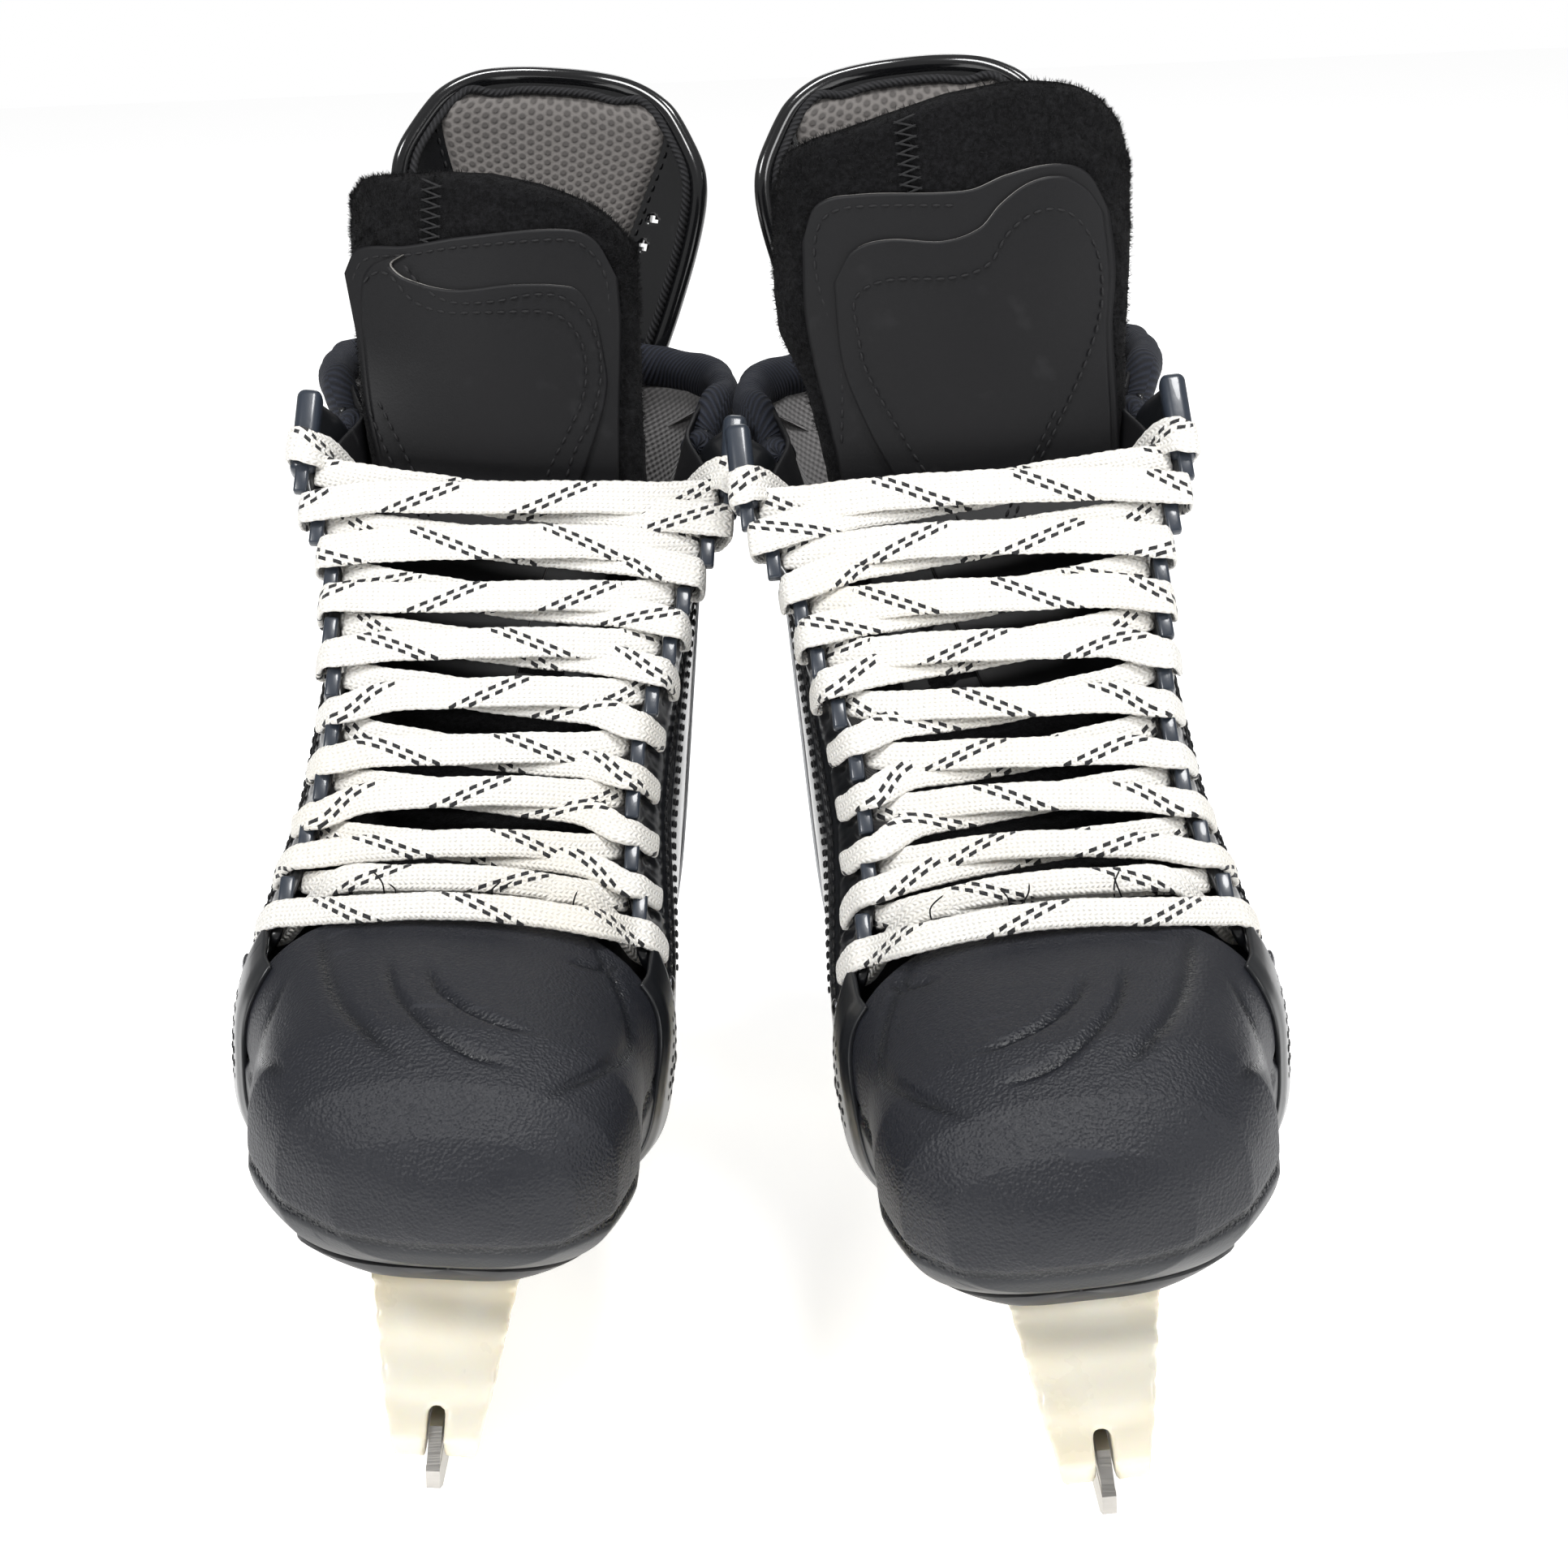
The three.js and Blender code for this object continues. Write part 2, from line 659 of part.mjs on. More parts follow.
// ---------- tendon guard ----------
const guardOutline = [
  [guardBase, 0.62],
  [mix(guardBase, guardTop, 0.12), 0.72],
  [mix(guardBase, guardTop, 0.36), 0.88],
  [mix(guardBase, guardTop, 0.68), 1],
  [mix(guardBase, guardTop, 0.84), 0.9],
  [mix(guardBase, guardTop, 0.95), 0.66],
  [guardTop, 0.5],
];
const guardBack = (z) => guardHingeY - guardThickness / 2 + (z - guardBase) * 0.12;
const guardBend = -0.0088;
function bentPlate(levels, middle, thickness, bend) {
  return padStrip(levels.length, 8, (t) => {
    const [z, half] = levels[Math.round(t * (levels.length - 1))];
    return { y: middle(z), z, tiltY: 1, tiltZ: 0, half, thickness, curl: bend };
  });
}
const tendonGuard = () =>
  bentPlate(
    guardOutline.map(([z, share]) => [z, (share * guardWidth) / 2]),
    guardBack,
    guardThickness,
    guardBend,
  );
const padLevels = [
  [0.16, 13],
  [0.4, 20],
  [0.66, 28],
  [0.84, 29],
  [0.93, 21],
];
const guardPad = () =>
  bentPlate(
    padLevels.map(([h, half]) => [mix(guardBase, guardTop, h), half]),
    (z) => guardBack(z) - (guardThickness + guardPadThickness) / 2 - 0.7,
    guardPadThickness,
    guardBend,
  );

// ---------- holder, runner and release ----------
const underOutsole = 2 * gap + outsoleThickness;
const slotHalf = runnerThickness / 2 + slotClearance;
const hookFront = [station(0.13), station(0.16)];
const hookRear = [pinY + 17, pinY + 29];
const hookFrontTop = 36;
const hookRearTop = 52;
const hookRoom = 2.8; // behind the rear hook, which swings back as it drops out
const frontTower = [toeY + 31, station(0.375)];
const rearTower = [station(0.7), station(0.92)];

const towerFlange = ([from, to], half) => {
  const top = soleLine(from, to, underOutsole);
  const bottom = soleLine(from, to, underOutsole + flangeThickness);
  return across([...top, ...bottom.reverse()], (y) => along(half, y)[0]);
};

function holderBody() {
  const frontTop = soleLine(frontTower[0], frontTower[1], underOutsole + 1);
  const rearTop = soleLine(rearTower[0], rearTower[1], underOutsole + 1);
  const outline = [
    [holderFront + 3, railBottom],
    [holderRear - 4, railBottom],
    [holderRear, railBottom + 7],
    [holderRear - 4, mix(railBottom, heelSole, 0.5)],
    ...rearTop.slice().reverse(),
    [rearTower[0] + 9, mix(railTop, heelSole, 0.55)],
    [rearTower[0] + 14, railTop + 5],
    [rearTower[0] + 8, railTop],
    [frontTower[1] + 16, railTop - 1],
    [frontTower[1] + 5, railTop + 6],
    ...frontTop.slice().reverse(),
    [frontTower[0] - 7, mix(railBottom, frontSole, 0.6)],
    [holderFront, railBottom + 6],
  ];
  return across(outline, (y, z) => {
    const top = y < 20 ? towerWidth / 2 : towerWidth / 2 - 3;
    const share = clamp((z - railBottom - 4) / (frontSole - railBottom - 8), 0, 1);
    return mix(railWidth / 2, top, share);
  });
}

function holder() {
  const frontHalf = [
    [frontTower[0], 19],
    [station(0.2), 28],
    [station(0.3), 29],
    [frontTower[1], 22],
  ];
  const rearHalf = [
    [rearTower[0], 19],
    [station(0.78), 25],
    [station(0.88), 25],
    [rearTower[1], 17],
  ];
  const body = solid(holderBody())
    .add(solid(towerFlange(frontTower, frontHalf)))
    .add(solid(towerFlange(rearTower, rearHalf)));
  const slotTop = runnerTop + 1.6;
  const slotOutline = [
    [-far, -far],
    [far, -far],
    [far, slotTop],
    [hookRear[1] + hookRoom, slotTop],
    [hookRear[1] + hookRoom, hookRearTop + 2],
    [hookRear[0] - 3.5, hookRearTop + 2],
    [hookRear[0] - 3.5, slotTop],
    [hookFront[1] + 4, slotTop],
    [hookFront[1] + 4, hookFrontTop + 1.5],
    [hookFront[0] - 1.5, hookFrontTop + 1.5],
    [hookFront[0] - 1.5, slotTop],
    [-far, slotTop],
  ];
  const pocket = block(
    -triggerWidth / 2 - 0.6,
    triggerWidth / 2 + springWidth + 1,
    pinY - 30,
    hookRear[0] - 0.5,
    railTop + 1,
    pinZ + 17,
  );
  const bore = new THREE.CylinderGeometry(pinRadius + gap, pinRadius + gap, 60, 8)
    .rotateZ(Math.PI / 2)
    .translate(0, pinY, pinZ);
  const tools = [across(slotOutline, () => slotHalf), pocket, bore, ...rivetHoles()];
  return toGeometry(tools.reduce((left, tool) => left.subtract(solid(tool)), body));
}

function runner() {
  const rocker = (y) => (y * y) / 2 / rockerRadius;
  const ground = [-112, -75, -35, 0, 40, 80, 118].map((y) => [y, rocker(y)]);
  const outline = [
    [runnerFront, 13],
    [runnerFront + 3, 7],
    [runnerFront + 10, 3.4],
    ...ground,
    [runnerRear - 9, 3.4],
    [runnerRear - 2, 7],
    [runnerRear, 12],
    [runnerRear - 5, 20],
    [runnerRear - 10, runnerTop],
    [hookRear[1], runnerTop],
    [hookRear[1], hookRearTop],
    [hookRear[0], hookRearTop],
    [hookRear[0], runnerTop],
    [hookFront[1], runnerTop],
    [hookFront[1], hookFrontTop],
    [hookFront[0], hookFrontTop],
    [hookFront[0], runnerTop],
    [runnerFront + 5, 21],
  ];
  const tang = solid(across(outline, () => tangThickness / 2));
  const below = block(-far, far, -far, far, -far, railBottom - gap);
  const blade = solid(across(outline, () => runnerThickness / 2)).intersect(solid(below));
  return toGeometry(tang.add(blade));
}

const springWidth = 2.2;
function trigger() {
  const outline = [
    [-16, -3.5],
    [-14, -6.5],
    [-6, -4.5],
    [4, -5],
    [7, 3],
    [14.5, 9],
    [16, 12],
    [8, 13],
    [1, 6],
    [-6, 3.5],
  ].map(([y, z]) => [pinY + y, pinZ + z]);
  const bore = new THREE.CylinderGeometry(pinRadius + gap, pinRadius + gap, 30, 8)
    .rotateZ(Math.PI / 2)
    .translate(0, pinY, pinZ);
  return subtract(across(outline, () => triggerWidth / 2), bore);
}

const turned = (profile, segments) =>
  outward(clean(new THREE.LatheGeometry(profile.map(([r, h]) => new THREE.Vector2(r, h)), segments)));

function triggerSpring() {
  const [inner, outer] = [pinRadius + gap, pinRadius + 1.6];
  const ring = turned(
    [
      [inner, 0],
      [outer, 0],
      [outer, springWidth],
      [inner, springWidth],
      [inner, 0],
    ],
    8,
  );
  return ring.rotateZ(-Math.PI / 2).translate(triggerWidth / 2 + gap, pinY, pinZ);
}

const pinLength = railWidth + 2;
const triggerPin = () =>
  clean(new THREE.CylinderGeometry(pinRadius, pinRadius, pinLength, 8).rotateZ(Math.PI / 2));

function rivet() {
  const shank = flangeThickness + outsoleThickness + 2 * gap;
  const profile = [
    [0, -gap - 1.6],
    [rivetHead, -gap - 1.2],
    [rivetHead, -gap],
    [rivetRadius, -gap],
    [rivetRadius, shank - gap],
    [0, shank - gap],
  ];
  return turned(profile, 6).rotateX(Math.PI / 2);
}

// ---------- one skate, and the pair ----------
function skate(name, tongue) {
  const group = new THREE.Group();
  const add = (part, geometry, material, position = [0, 0, 0]) => {
    const mesh = new THREE.Mesh(geometry, material);
    mesh.name = name + "_" + part;
    mesh.position.set(...position);
    group.add(mesh);
  };
  add("boot_shell", bootShell(), glossBlack);
  add("toe_cap", toeCap(), matteBlack);
  add("heel_counter", heelCounter(), glossBlack);
  add("outsole", outsole(), matteBlack);
  add("footbed", footbed(), meshGrey);
  add("inner_facing", facing(1), slate);
  add("outer_facing", facing(-1), slate);
  add("lace", lace(), laceWhite);
  add("tongue_base", tongueBase(), feltBlack);
  add("tongue_felt", tongueUpper(tongue, coverThickness + gap, tongueThickness, 0), feltBlack);
  add("tongue_cover", tongueUpper(tongue, 0, coverThickness, coverDrop), leatherBlack);
  add("inner_ankle_pad", anklePad(1), meshGrey);
  add("outer_ankle_pad", anklePad(-1), meshGrey);
  add("collar_roll", collarRoll(), feltBlack);
  add("tendon_guard", tendonGuard(), glossBlack);
  add("tendon_guard_pad", guardPad(), meshGrey);
  add("holder", holder(), creamPlastic);
  add("runner", runner(), steel);
  add("trigger", trigger(), matteBlack);
  add("trigger_spring", triggerSpring(), steel);
  add("trigger_pin", triggerPin(), steel, [0, pinY, pinZ]);
  for (const [k, [y, x]] of rivetSpots.entries()) {
    const under = (y < 0 ? frontSole : heelSole) - underOutsole - flangeThickness;
    add(`inner_rivet_${k + 1}`, rivet(), steel, [x, y, under]);
    add(`outer_rivet_${k + 1}`, rivet(), steel, [-x, y, under]);
  }
  return group;
}

const rightTongue = { top: 267, half: 36, shift: -8, curl: 0.006 };
const leftTongue = { top: 287, half: 40, shift: -3, curl: 0.004 };

function standing(group, lean, forward) {
  const tipped = new THREE.Group();
  tipped.add(group);
  tipped.rotation.y = THREE.MathUtils.degToRad(lean);
  const reach = new THREE.Box3().setFromObject(tipped, true).max.x;
  tipped.position.set(-reach + pairNesting / 2, -forward, 0);
  return tipped;
}

const rightSkate = standing(skate("right", rightTongue), rightLean, -stagger / 2);
const leftSkate = new THREE.Group();
leftSkate.add(standing(skate("left", leftTongue), leftLean, stagger / 2));
leftSkate.scale.x = -1;

const pair = new THREE.Group();
pair.add(rightSkate, leftSkate);

// The origin is under the middle of the pair, on the ice.
const box = new THREE.Box3().setFromObject(pair, true);
pair.position.set(-(box.min.x + box.max.x) / 2, -(box.min.y + box.max.y) / 2, -box.min.z);

const skates = new THREE.Group();
skates.add(pair);
export default skates;
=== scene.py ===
import json
import math
import random

import bmesh
import bpy
from mathutils import Matrix, Vector, noise


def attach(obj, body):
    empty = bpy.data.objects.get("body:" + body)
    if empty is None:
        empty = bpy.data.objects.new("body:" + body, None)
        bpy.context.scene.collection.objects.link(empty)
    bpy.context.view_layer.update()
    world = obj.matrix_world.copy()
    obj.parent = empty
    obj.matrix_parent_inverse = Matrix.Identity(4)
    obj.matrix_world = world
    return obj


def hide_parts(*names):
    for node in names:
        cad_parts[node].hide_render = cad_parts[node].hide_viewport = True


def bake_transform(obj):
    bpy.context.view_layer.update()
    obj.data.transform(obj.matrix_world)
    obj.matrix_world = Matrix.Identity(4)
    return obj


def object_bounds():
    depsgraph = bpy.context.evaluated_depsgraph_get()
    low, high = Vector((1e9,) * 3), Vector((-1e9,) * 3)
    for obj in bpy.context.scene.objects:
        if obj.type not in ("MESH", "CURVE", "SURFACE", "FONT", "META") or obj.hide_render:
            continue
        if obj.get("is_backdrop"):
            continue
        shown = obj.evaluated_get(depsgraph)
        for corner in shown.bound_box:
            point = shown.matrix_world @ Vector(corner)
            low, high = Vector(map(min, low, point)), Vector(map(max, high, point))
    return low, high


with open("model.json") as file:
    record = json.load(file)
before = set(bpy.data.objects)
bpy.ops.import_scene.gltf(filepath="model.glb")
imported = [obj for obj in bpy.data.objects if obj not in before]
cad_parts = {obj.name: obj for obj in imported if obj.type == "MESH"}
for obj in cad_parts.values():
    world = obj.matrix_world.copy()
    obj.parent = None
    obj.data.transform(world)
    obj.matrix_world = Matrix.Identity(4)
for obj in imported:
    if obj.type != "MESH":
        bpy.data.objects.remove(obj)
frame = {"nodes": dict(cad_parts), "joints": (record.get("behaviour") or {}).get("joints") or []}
CAD_LOW, CAD_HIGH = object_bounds()
NODES = frame["nodes"]
JOINTS = {joint["name"]: joint for joint in frame["joints"]}
SKATES = ("right", "left")
MM = 0.001
HOOK_AHEAD, HOOK_UP = 0.122, 0.020  # metres from a skate's own origin to the hook that its runner turns on


def skate_place(name):
    """The matrix from a skate's own millimetres to the row frame, read from its runner's hinge."""
    release = JOINTS[name + "_runner_release"]
    sideways = -Vector(release["axis"]).normalized()
    up = sideways.cross(Vector((0, 1, 0)))
    inner = sideways if name == "right" else -sideways
    place = Matrix.Identity(4)
    for i, column in enumerate((inner, Vector((0, 1, 0)), up)):
        for row in range(3):
            place[row][i] = column[row] * MM
    place.translation = Vector(release["pos_m"]) + Vector((0, HOOK_AHEAD, 0)) - up * HOOK_UP
    return place


PLACE = {name: skate_place(name) for name in SKATES}


def mix(a, b, t):
    return a + (b - a) * t


def clamp(v, low=0.0, high=1.0):
    return min(max(v, low), high)


def smooth(t):
    t = clamp(t)
    return t * t * (3 - 2 * t)


def bell(x, half):
    """A smooth bump of height 1 at 0, over within twice its half width."""
    return math.exp(-((x / half) ** 2))


def along(line, x):
    """Reads a broken line [(x, value), ...] at x."""
    for (xa, va), (xb, vb) in zip(line, line[1:]):
        if x <= xb:
            return mix(va, vb, clamp((x - xa) / (xb - xa)))
    return line[-1][1]


def hermite(a, b, slope_a, slope_b, t):
    """A smooth way from a to b that leaves and arrives at the given slopes."""
    t2, t3 = t * t, t * t * t
    return a * (2 * t3 - 3 * t2 + 1) + slope_a * (t3 - 2 * t2 + t) + b * (3 * t2 - 2 * t3) + slope_b * (t3 - t2)


def eased(line, x):
    """Reads [(x, value), ...] at x on a smooth curve through its points."""
    i = 0
    while i < len(line) - 2 and x > line[i + 1][0]:
        i += 1
    (xa, va), (xb, vb) = line[i], line[i + 1]
    before, after = line[max(i - 1, 0)], line[min(i + 2, len(line) - 1)]
    slope_a = (vb - before[1]) / max(xb - before[0], 1e-6) * (xb - xa)
    slope_b = (after[1] - va) / max(after[0] - xa, 1e-6) * (xb - xa)
    return hermite(va, vb, slope_a, slope_b, clamp((x - xa) / (xb - xa)))


def evenly(points, step=1.0, count=None):
    """Evenly spaced points along a line of many, whose length is read from their first three numbers."""
    lengths = [0.0]
    for a, b in zip(points, points[1:]):
        lengths.append(lengths[-1] + math.dist(a[:3], b[:3]))
    count = count or max(2, round(lengths[-1] / step))
    result, j = [], 0
    for n in range(count + 1):
        want = lengths[-1] * n / count
        while j < len(points) - 2 and lengths[j + 1] < want:
            j += 1
        t = clamp((want - lengths[j]) / max(lengths[j + 1] - lengths[j], 1e-9))
        result.append([mix(a, b, t) for a, b in zip(points[j], points[j + 1])])
    return result


def curve_through(points, step, parts=12):
    """Evenly spaced points on a smooth curve through the given ones, a vector of any length each."""
    fine = []
    for i in range(len(points) - 1):
        near = list(zip(*(points[clamp(j, 0, len(points) - 1)] for j in (i - 1, i, i + 1, i + 2))))
        for t in (n / parts for n in range(parts)):
            fine.append([
                0.5 * (2 * b + (c - a) * t + (2 * a - 5 * b + 4 * c - d) * t * t + (3 * b - a - 3 * c + d) * t**3)
                for a, b, c, d in near
            ])
    return evenly(fine + [list(points[-1])], step)


# ---------- the boot's surface, as rings that fan out from the instep ----------
TOE, LENGTH = -145.0, 290.0
FRONT_SOLE, HEEL_SOLE, FACING_TOP, CAP_TOP = 57.0, 71.0, 208.0, 116.0


def station(s):
    """y at a share of the boot's length."""
    return TOE + s * LENGTH


def rise(h):
    """z at a share of the way from the front sole to the facings' tops."""
    return FRONT_SOLE + h * (FACING_TOP - FRONT_SOLE)


def on_heel(h):
    """z at a share of the way from the heel's sole to the facings' tops."""
    return HEEL_SOLE + h * (FACING_TOP - HEEL_SOLE)


def toe_ring(back, top, bottom, shift):
    """An upright ring near the toe, back from its tip; top and bottom are shares of the cap's height."""
    half = 42.5 * (1 - (1 - clamp(back / 40)) ** 2.4) ** (1 / 2.4)
    y = TOE + back
    return (y, FRONT_SOLE + top * 59, y, FRONT_SOLE + bottom * 59, half, shift, 0.5, 2.5, 3)


# front y and z, back y and z, half width, shift, where it is widest, roundness in front and behind
RINGS = [
    toe_ring(0.6, 0.5, 0.27, 4),
    toe_ring(5, 0.63, 0.145, 3),
    toe_ring(14, 0.77, 0.06, 1),
    toe_ring(28, 0.88, 0.02, -1),
    toe_ring(50, 0.95, 0, -2),
    (station(0.25), CAP_TOP, station(0.25), FRONT_SOLE, 48.0, -3, 0.55, 2.6, 4),
    (station(0.33), rise(0.49), station(0.33), FRONT_SOLE, 49.5, -3, 0.6, 2.6, 4),
    (station(0.415), rise(0.64), station(0.45), rise(0.013), 46.5, -1, 0.6, 2.7, 4),
    (station(0.5), rise(0.83), station(0.6), rise(0.05), 45.0, 1, 0.5, 3.4, 3.6),
    (station(0.545), rise(0.97), station(0.7), HEEL_SOLE, 45.0, 1, 0.35, 4.4, 3.6),
    (station(0.57), rise(1.06), station(0.92), HEEL_SOLE, 45.1, 1, 0.25, 5, 3),
    (station(0.583), rise(1.11), station(0.988), on_heel(0.09), 46.0, 1, 0.25, 5, 2.3),
    (station(0.593), rise(1.15), station(1), on_heel(0.27), 47.8, 0, 0.25, 5, 2.3),
    (station(0.6), rise(1.18), station(0.986), on_heel(0.57), 52.8, 0, 0.25, 5, 2.3),
    (station(0.603), rise(1.2), station(0.973), on_heel(0.84), 56.3, -1, 0.28, 5, 2.3),
    (station(0.607), rise(1.25), station(0.973), on_heel(1.13), 57.4, -1, 0.28, 5, 2.3),
]


def ring_between(k):
    """The ring at place k along the boot, on a smooth curve through its neighbours."""
    i = int(min(k, len(RINGS) - 1.0001))
    t = k - i
    a, b, c, d = (RINGS[clamp(j, 0, len(RINGS) - 1)] for j in (i - 1, i, i + 1, i + 2))
    return [
        mix(q, r, t) + 0.35 * ((r - p) * 0.5 * (t - 2 * t * t + t**3) + (s - q) * 0.5 * (t**3 - t * t)
                               + (r - q) * (3 * t * t - 2 * t**3 - t))
        for p, q, r, s in zip(a, b, c, d)
    ]


FINE = 40
FINE_RINGS = [ring_between(i / FINE) for i in range((len(RINGS) - 1) * FINE + 1)]


def ring_at(k, out=0.0):
    """The ring at place k along the boot, moved outwards."""
    place = clamp(k * FINE, 0, len(FINE_RINGS) - 1.001)
    i = int(place)
    t = place - i
    ring = [a + (b - a) * t for a, b in zip(FINE_RINGS[i], FINE_RINGS[i + 1])]
    if not out:
        return ring
    fy, fz, by, bz = ring[:4]
    length = math.hypot(by - fy, bz - fz)
    uy, uz = (by - fy) / length * out, (bz - fz) / length * out
    push = out * clamp((RINGS[5][0] - fy) / (RINGS[5][0] - TOE))
    return [fy - uy - push, fz - uz, by + uy - push, bz + uz, ring[4] + out] + ring[5:]


def power(v, e):
    """v to a power, with its sign kept."""
    return math.copysign(abs(v) ** e, v)


def rounded(a, across, up):
    """A point of a rounded square at a of the way round; lower powers give tighter corners."""
    return power(math.cos(a * math.tau), across), power(math.sin(a * math.tau), up)


def ring_point(ring, phi):
    """The point of a ring at an angle from its front, towards the inner side."""
    fy, fz, by, bz, half, shift, widest, round_top, round_bottom = ring
    s, c = math.sin(phi), math.cos(phi)
    e, reach = (round_top, widest) if c > 0 else (round_bottom, 1 - widest)
    t = widest - reach * power(c, 2 / e)
    return (shift + half * power(s, 2 / e), mix(fy, by, t), mix(fz, bz, t))


def ring_row(ring, columns, start=0.0, parts=240):
    """Evenly spaced points round a ring, from phi = start on the inner side to the same on the outer."""
    fine = [ring_point(ring, mix(start, math.tau - start, n / parts)) for n in range(parts + 1)]
    return evenly(fine, count=columns)


def ring_ahead(ring, y, z):
    """Which side of a ring's line a point of the side view is on."""
    return (ring[2] - ring[0]) * (z - ring[1]) - (ring[3] - ring[1]) * (y - ring[0])


def ring_through(y, z):
    """The place along the boot of the ring that passes a point of the side view."""
    low, high = 0, len(FINE_RINGS) - 1
    while high - low > 1:
        middle = (low + high) // 2
        if ring_ahead(FINE_RINGS[middle], y, z) > 0:
            low = middle
        else:
            high = middle
    da, db = ring_ahead(FINE_RINGS[low], y, z), ring_ahead(FINE_RINGS[high], y, z)
    return (low + clamp(da / (da - db) if da != db else 0.0)) / FINE


def width_at(y, z):
    """Half width and centre of the boot at a point of its side view."""
    ring = ring_at(ring_through(y, z))
    fy, fz, by, bz, half, shift, widest, round_top, round_bottom = ring
    t = clamp(math.hypot(y - fy, z - fz) / math.hypot(by - fy, bz - fz))
    e, reach = (round_top, widest) if t < widest else (round_bottom, 1 - widest)
    u = clamp(abs(t - widest) / reach)
    return max(half * (1 - u**e) ** (1 / e), 0.05), shift


def on_side(side, y, z, out=0.0):
    """The point of the boot's side over a point of its side view; side is 1 inside and -1 outside."""
    half, centre = width_at(y, z)
    return Vector((centre + side * (half + out), y, z))


def sole_z(y):
    """The height of the boot's underside."""
    line = sorted((ring[2], ring[3]) for ring in RINGS[:12])
    return eased(line, y)


# ---------- the facings' free edge ----------
EDGE = curve_through(
    [
        (TOE + 78.88, rise(0.325)),
        (station(0.362), rise(0.49)),
        (station(0.448), rise(0.668)),
        (station(0.528), rise(0.84)),
        (station(0.593), rise(1.0)),
    ],
    1.0,
)
SPLAY = [(0, 0), (0.25, 3.4), (0.5, 10.5), (0.75, 11.5), (1, 12.5)]
FACING_DEPTH = 17.0
ROWS = 10


def edge_point(t, depth):
    """A point of the side view, t of the way up the free edge and depth behind it, with the edge's direction."""
    place = clamp(t) * (len(EDGE) - 1)
    i = min(int(place), len(EDGE) - 2)
    y, z = (mix(EDGE[i][n], EDGE[i + 1][n], place - i) for n in (0, 1))
    ahead, behind = EDGE[min(i + 4, len(EDGE) - 1)], EDGE[max(i - 3, 0)]
    dy, dz = ahead[0] - behind[0], ahead[1] - behind[1]
    length = math.hypot(dy, dz)
    dy, dz = dy / length, dz / length
    over = (t - clamp(t)) * len(EDGE)
    return y + dz * depth + dy * over, z - dy * depth + dz * over, dy, dz


def row_share(row):
    """How far up the free edge a row of eyelets is."""
    return mix(0.035, 0.918, row / (ROWS - 1))


def strip_point(side, t, depth, out):
    """A point on a facing: depth behind its free edge, out from its outer face."""
    ends = []
    for d in (0.0, FACING_DEPTH):
        y, z, _, _ = edge_point(t, d)
        half, centre = width_at(y, z)
        ends.append(centre + side * (half + (eased(SPLAY, clamp(t)) if d == 0 else 0) + out))
    y, z, _, _ = edge_point(t, depth)
    return Vector((mix(ends[0], ends[1], depth / FACING_DEPTH), y, z))


BAND = [edge_point(i / 12, FACING_DEPTH + 0.3)[:2] for i in range(13)]
COLLAR = [(station(0.707), 204.0), (station(0.845), 205.0), (station(0.9), 200.0), (station(0.92), 190.1)]
THROAT = [(-400.0, BAND[0][1])] + BAND + COLLAR
SEAM_SLOPE = 18.0 / 60.0


def seam_y(z):
    """Where the cap's sloping seam is at a height."""
    return TOE + 57 + (z - FRONT_SOLE) * SEAM_SLOPE


def throat_phi(ring):
    """The angle on a ring where the throat or the collar cuts it."""
    best = 0.0
    fy, fz, by, bz = ring[:4]
    for (ya, za), (yb, zb) in zip(THROAT, THROAT[1:]):
        da, db = ring_ahead(ring, ya, za), ring_ahead(ring, yb, zb)
        if da * db < 0:
            s = da / (da - db)
            y, z = mix(ya, yb, s), mix(za, zb, s)
            t = ((y - fy) * (by - fy) + (z - fz) * (bz - fz)) / ((by - fy) ** 2 + (bz - fz) ** 2)
            if 0 < t < 1:
                best = max(best, t)
    widest, round_top, round_bottom = ring[6:]
    if best < widest:
        return math.acos(clamp(((widest - best) / widest) ** (round_top / 2), 0, 1))
    return math.acos(-clamp(((best - widest) / (1 - widest)) ** (round_bottom / 2), 0, 1))


# ---------- making meshes ----------
def grid(columns, rows, place, closed=False, size=(1.0, 1.0), across=None):
    """A sheet of quads: place(a, b) puts each point by its shares across and along the sheet."""
    bm = bmesh.new()
    bmesh.ops.create_grid(bm, x_segments=columns, y_segments=rows, size=0.5)
    uv = bm.loops.layers.uv.new("cloth")
    for face in bm.faces:
        for loop in face.loops:
            a, b = clamp(loop.vert.co.x + 0.5), loop.vert.co.y + 0.5
            loop[uv].uv = (across(a, b) if across else a * size[0], b * size[1])
    for v in bm.verts:
        v.co = place(clamp(v.co.x + 0.5), clamp(v.co.y + 0.5))
    if closed:
        bmesh.ops.remove_doubles(bm, verts=bm.verts, dist=1e-3)
        loose = [e for e in bm.edges if not e.link_faces]
        bmesh.ops.delete(bm, geom=loose, context="EDGES")
    return bm


def as_mesh(bm, name):
    mesh = bpy.data.meshes.new(name)
    bm.to_mesh(mesh)
    bm.free()
    return mesh


def linked(name, data):
    obj = bpy.data.objects.new(name, data)
    bpy.context.scene.collection.objects.link(obj)
    return obj


def face_out(bm, middle=None):
    """Turns all faces the same way, away from the middle of an open sheet."""
    bmesh.ops.recalc_face_normals(bm, faces=bm.faces)
    if middle is not None:
        bm.normal_update()
        centre = Vector(middle)
        total = sum(f.normal.dot(f.calc_center_median() - centre) * f.calc_area() for f in bm.faces)
        if total < 0:
            bmesh.ops.reverse_faces(bm, faces=bm.faces)


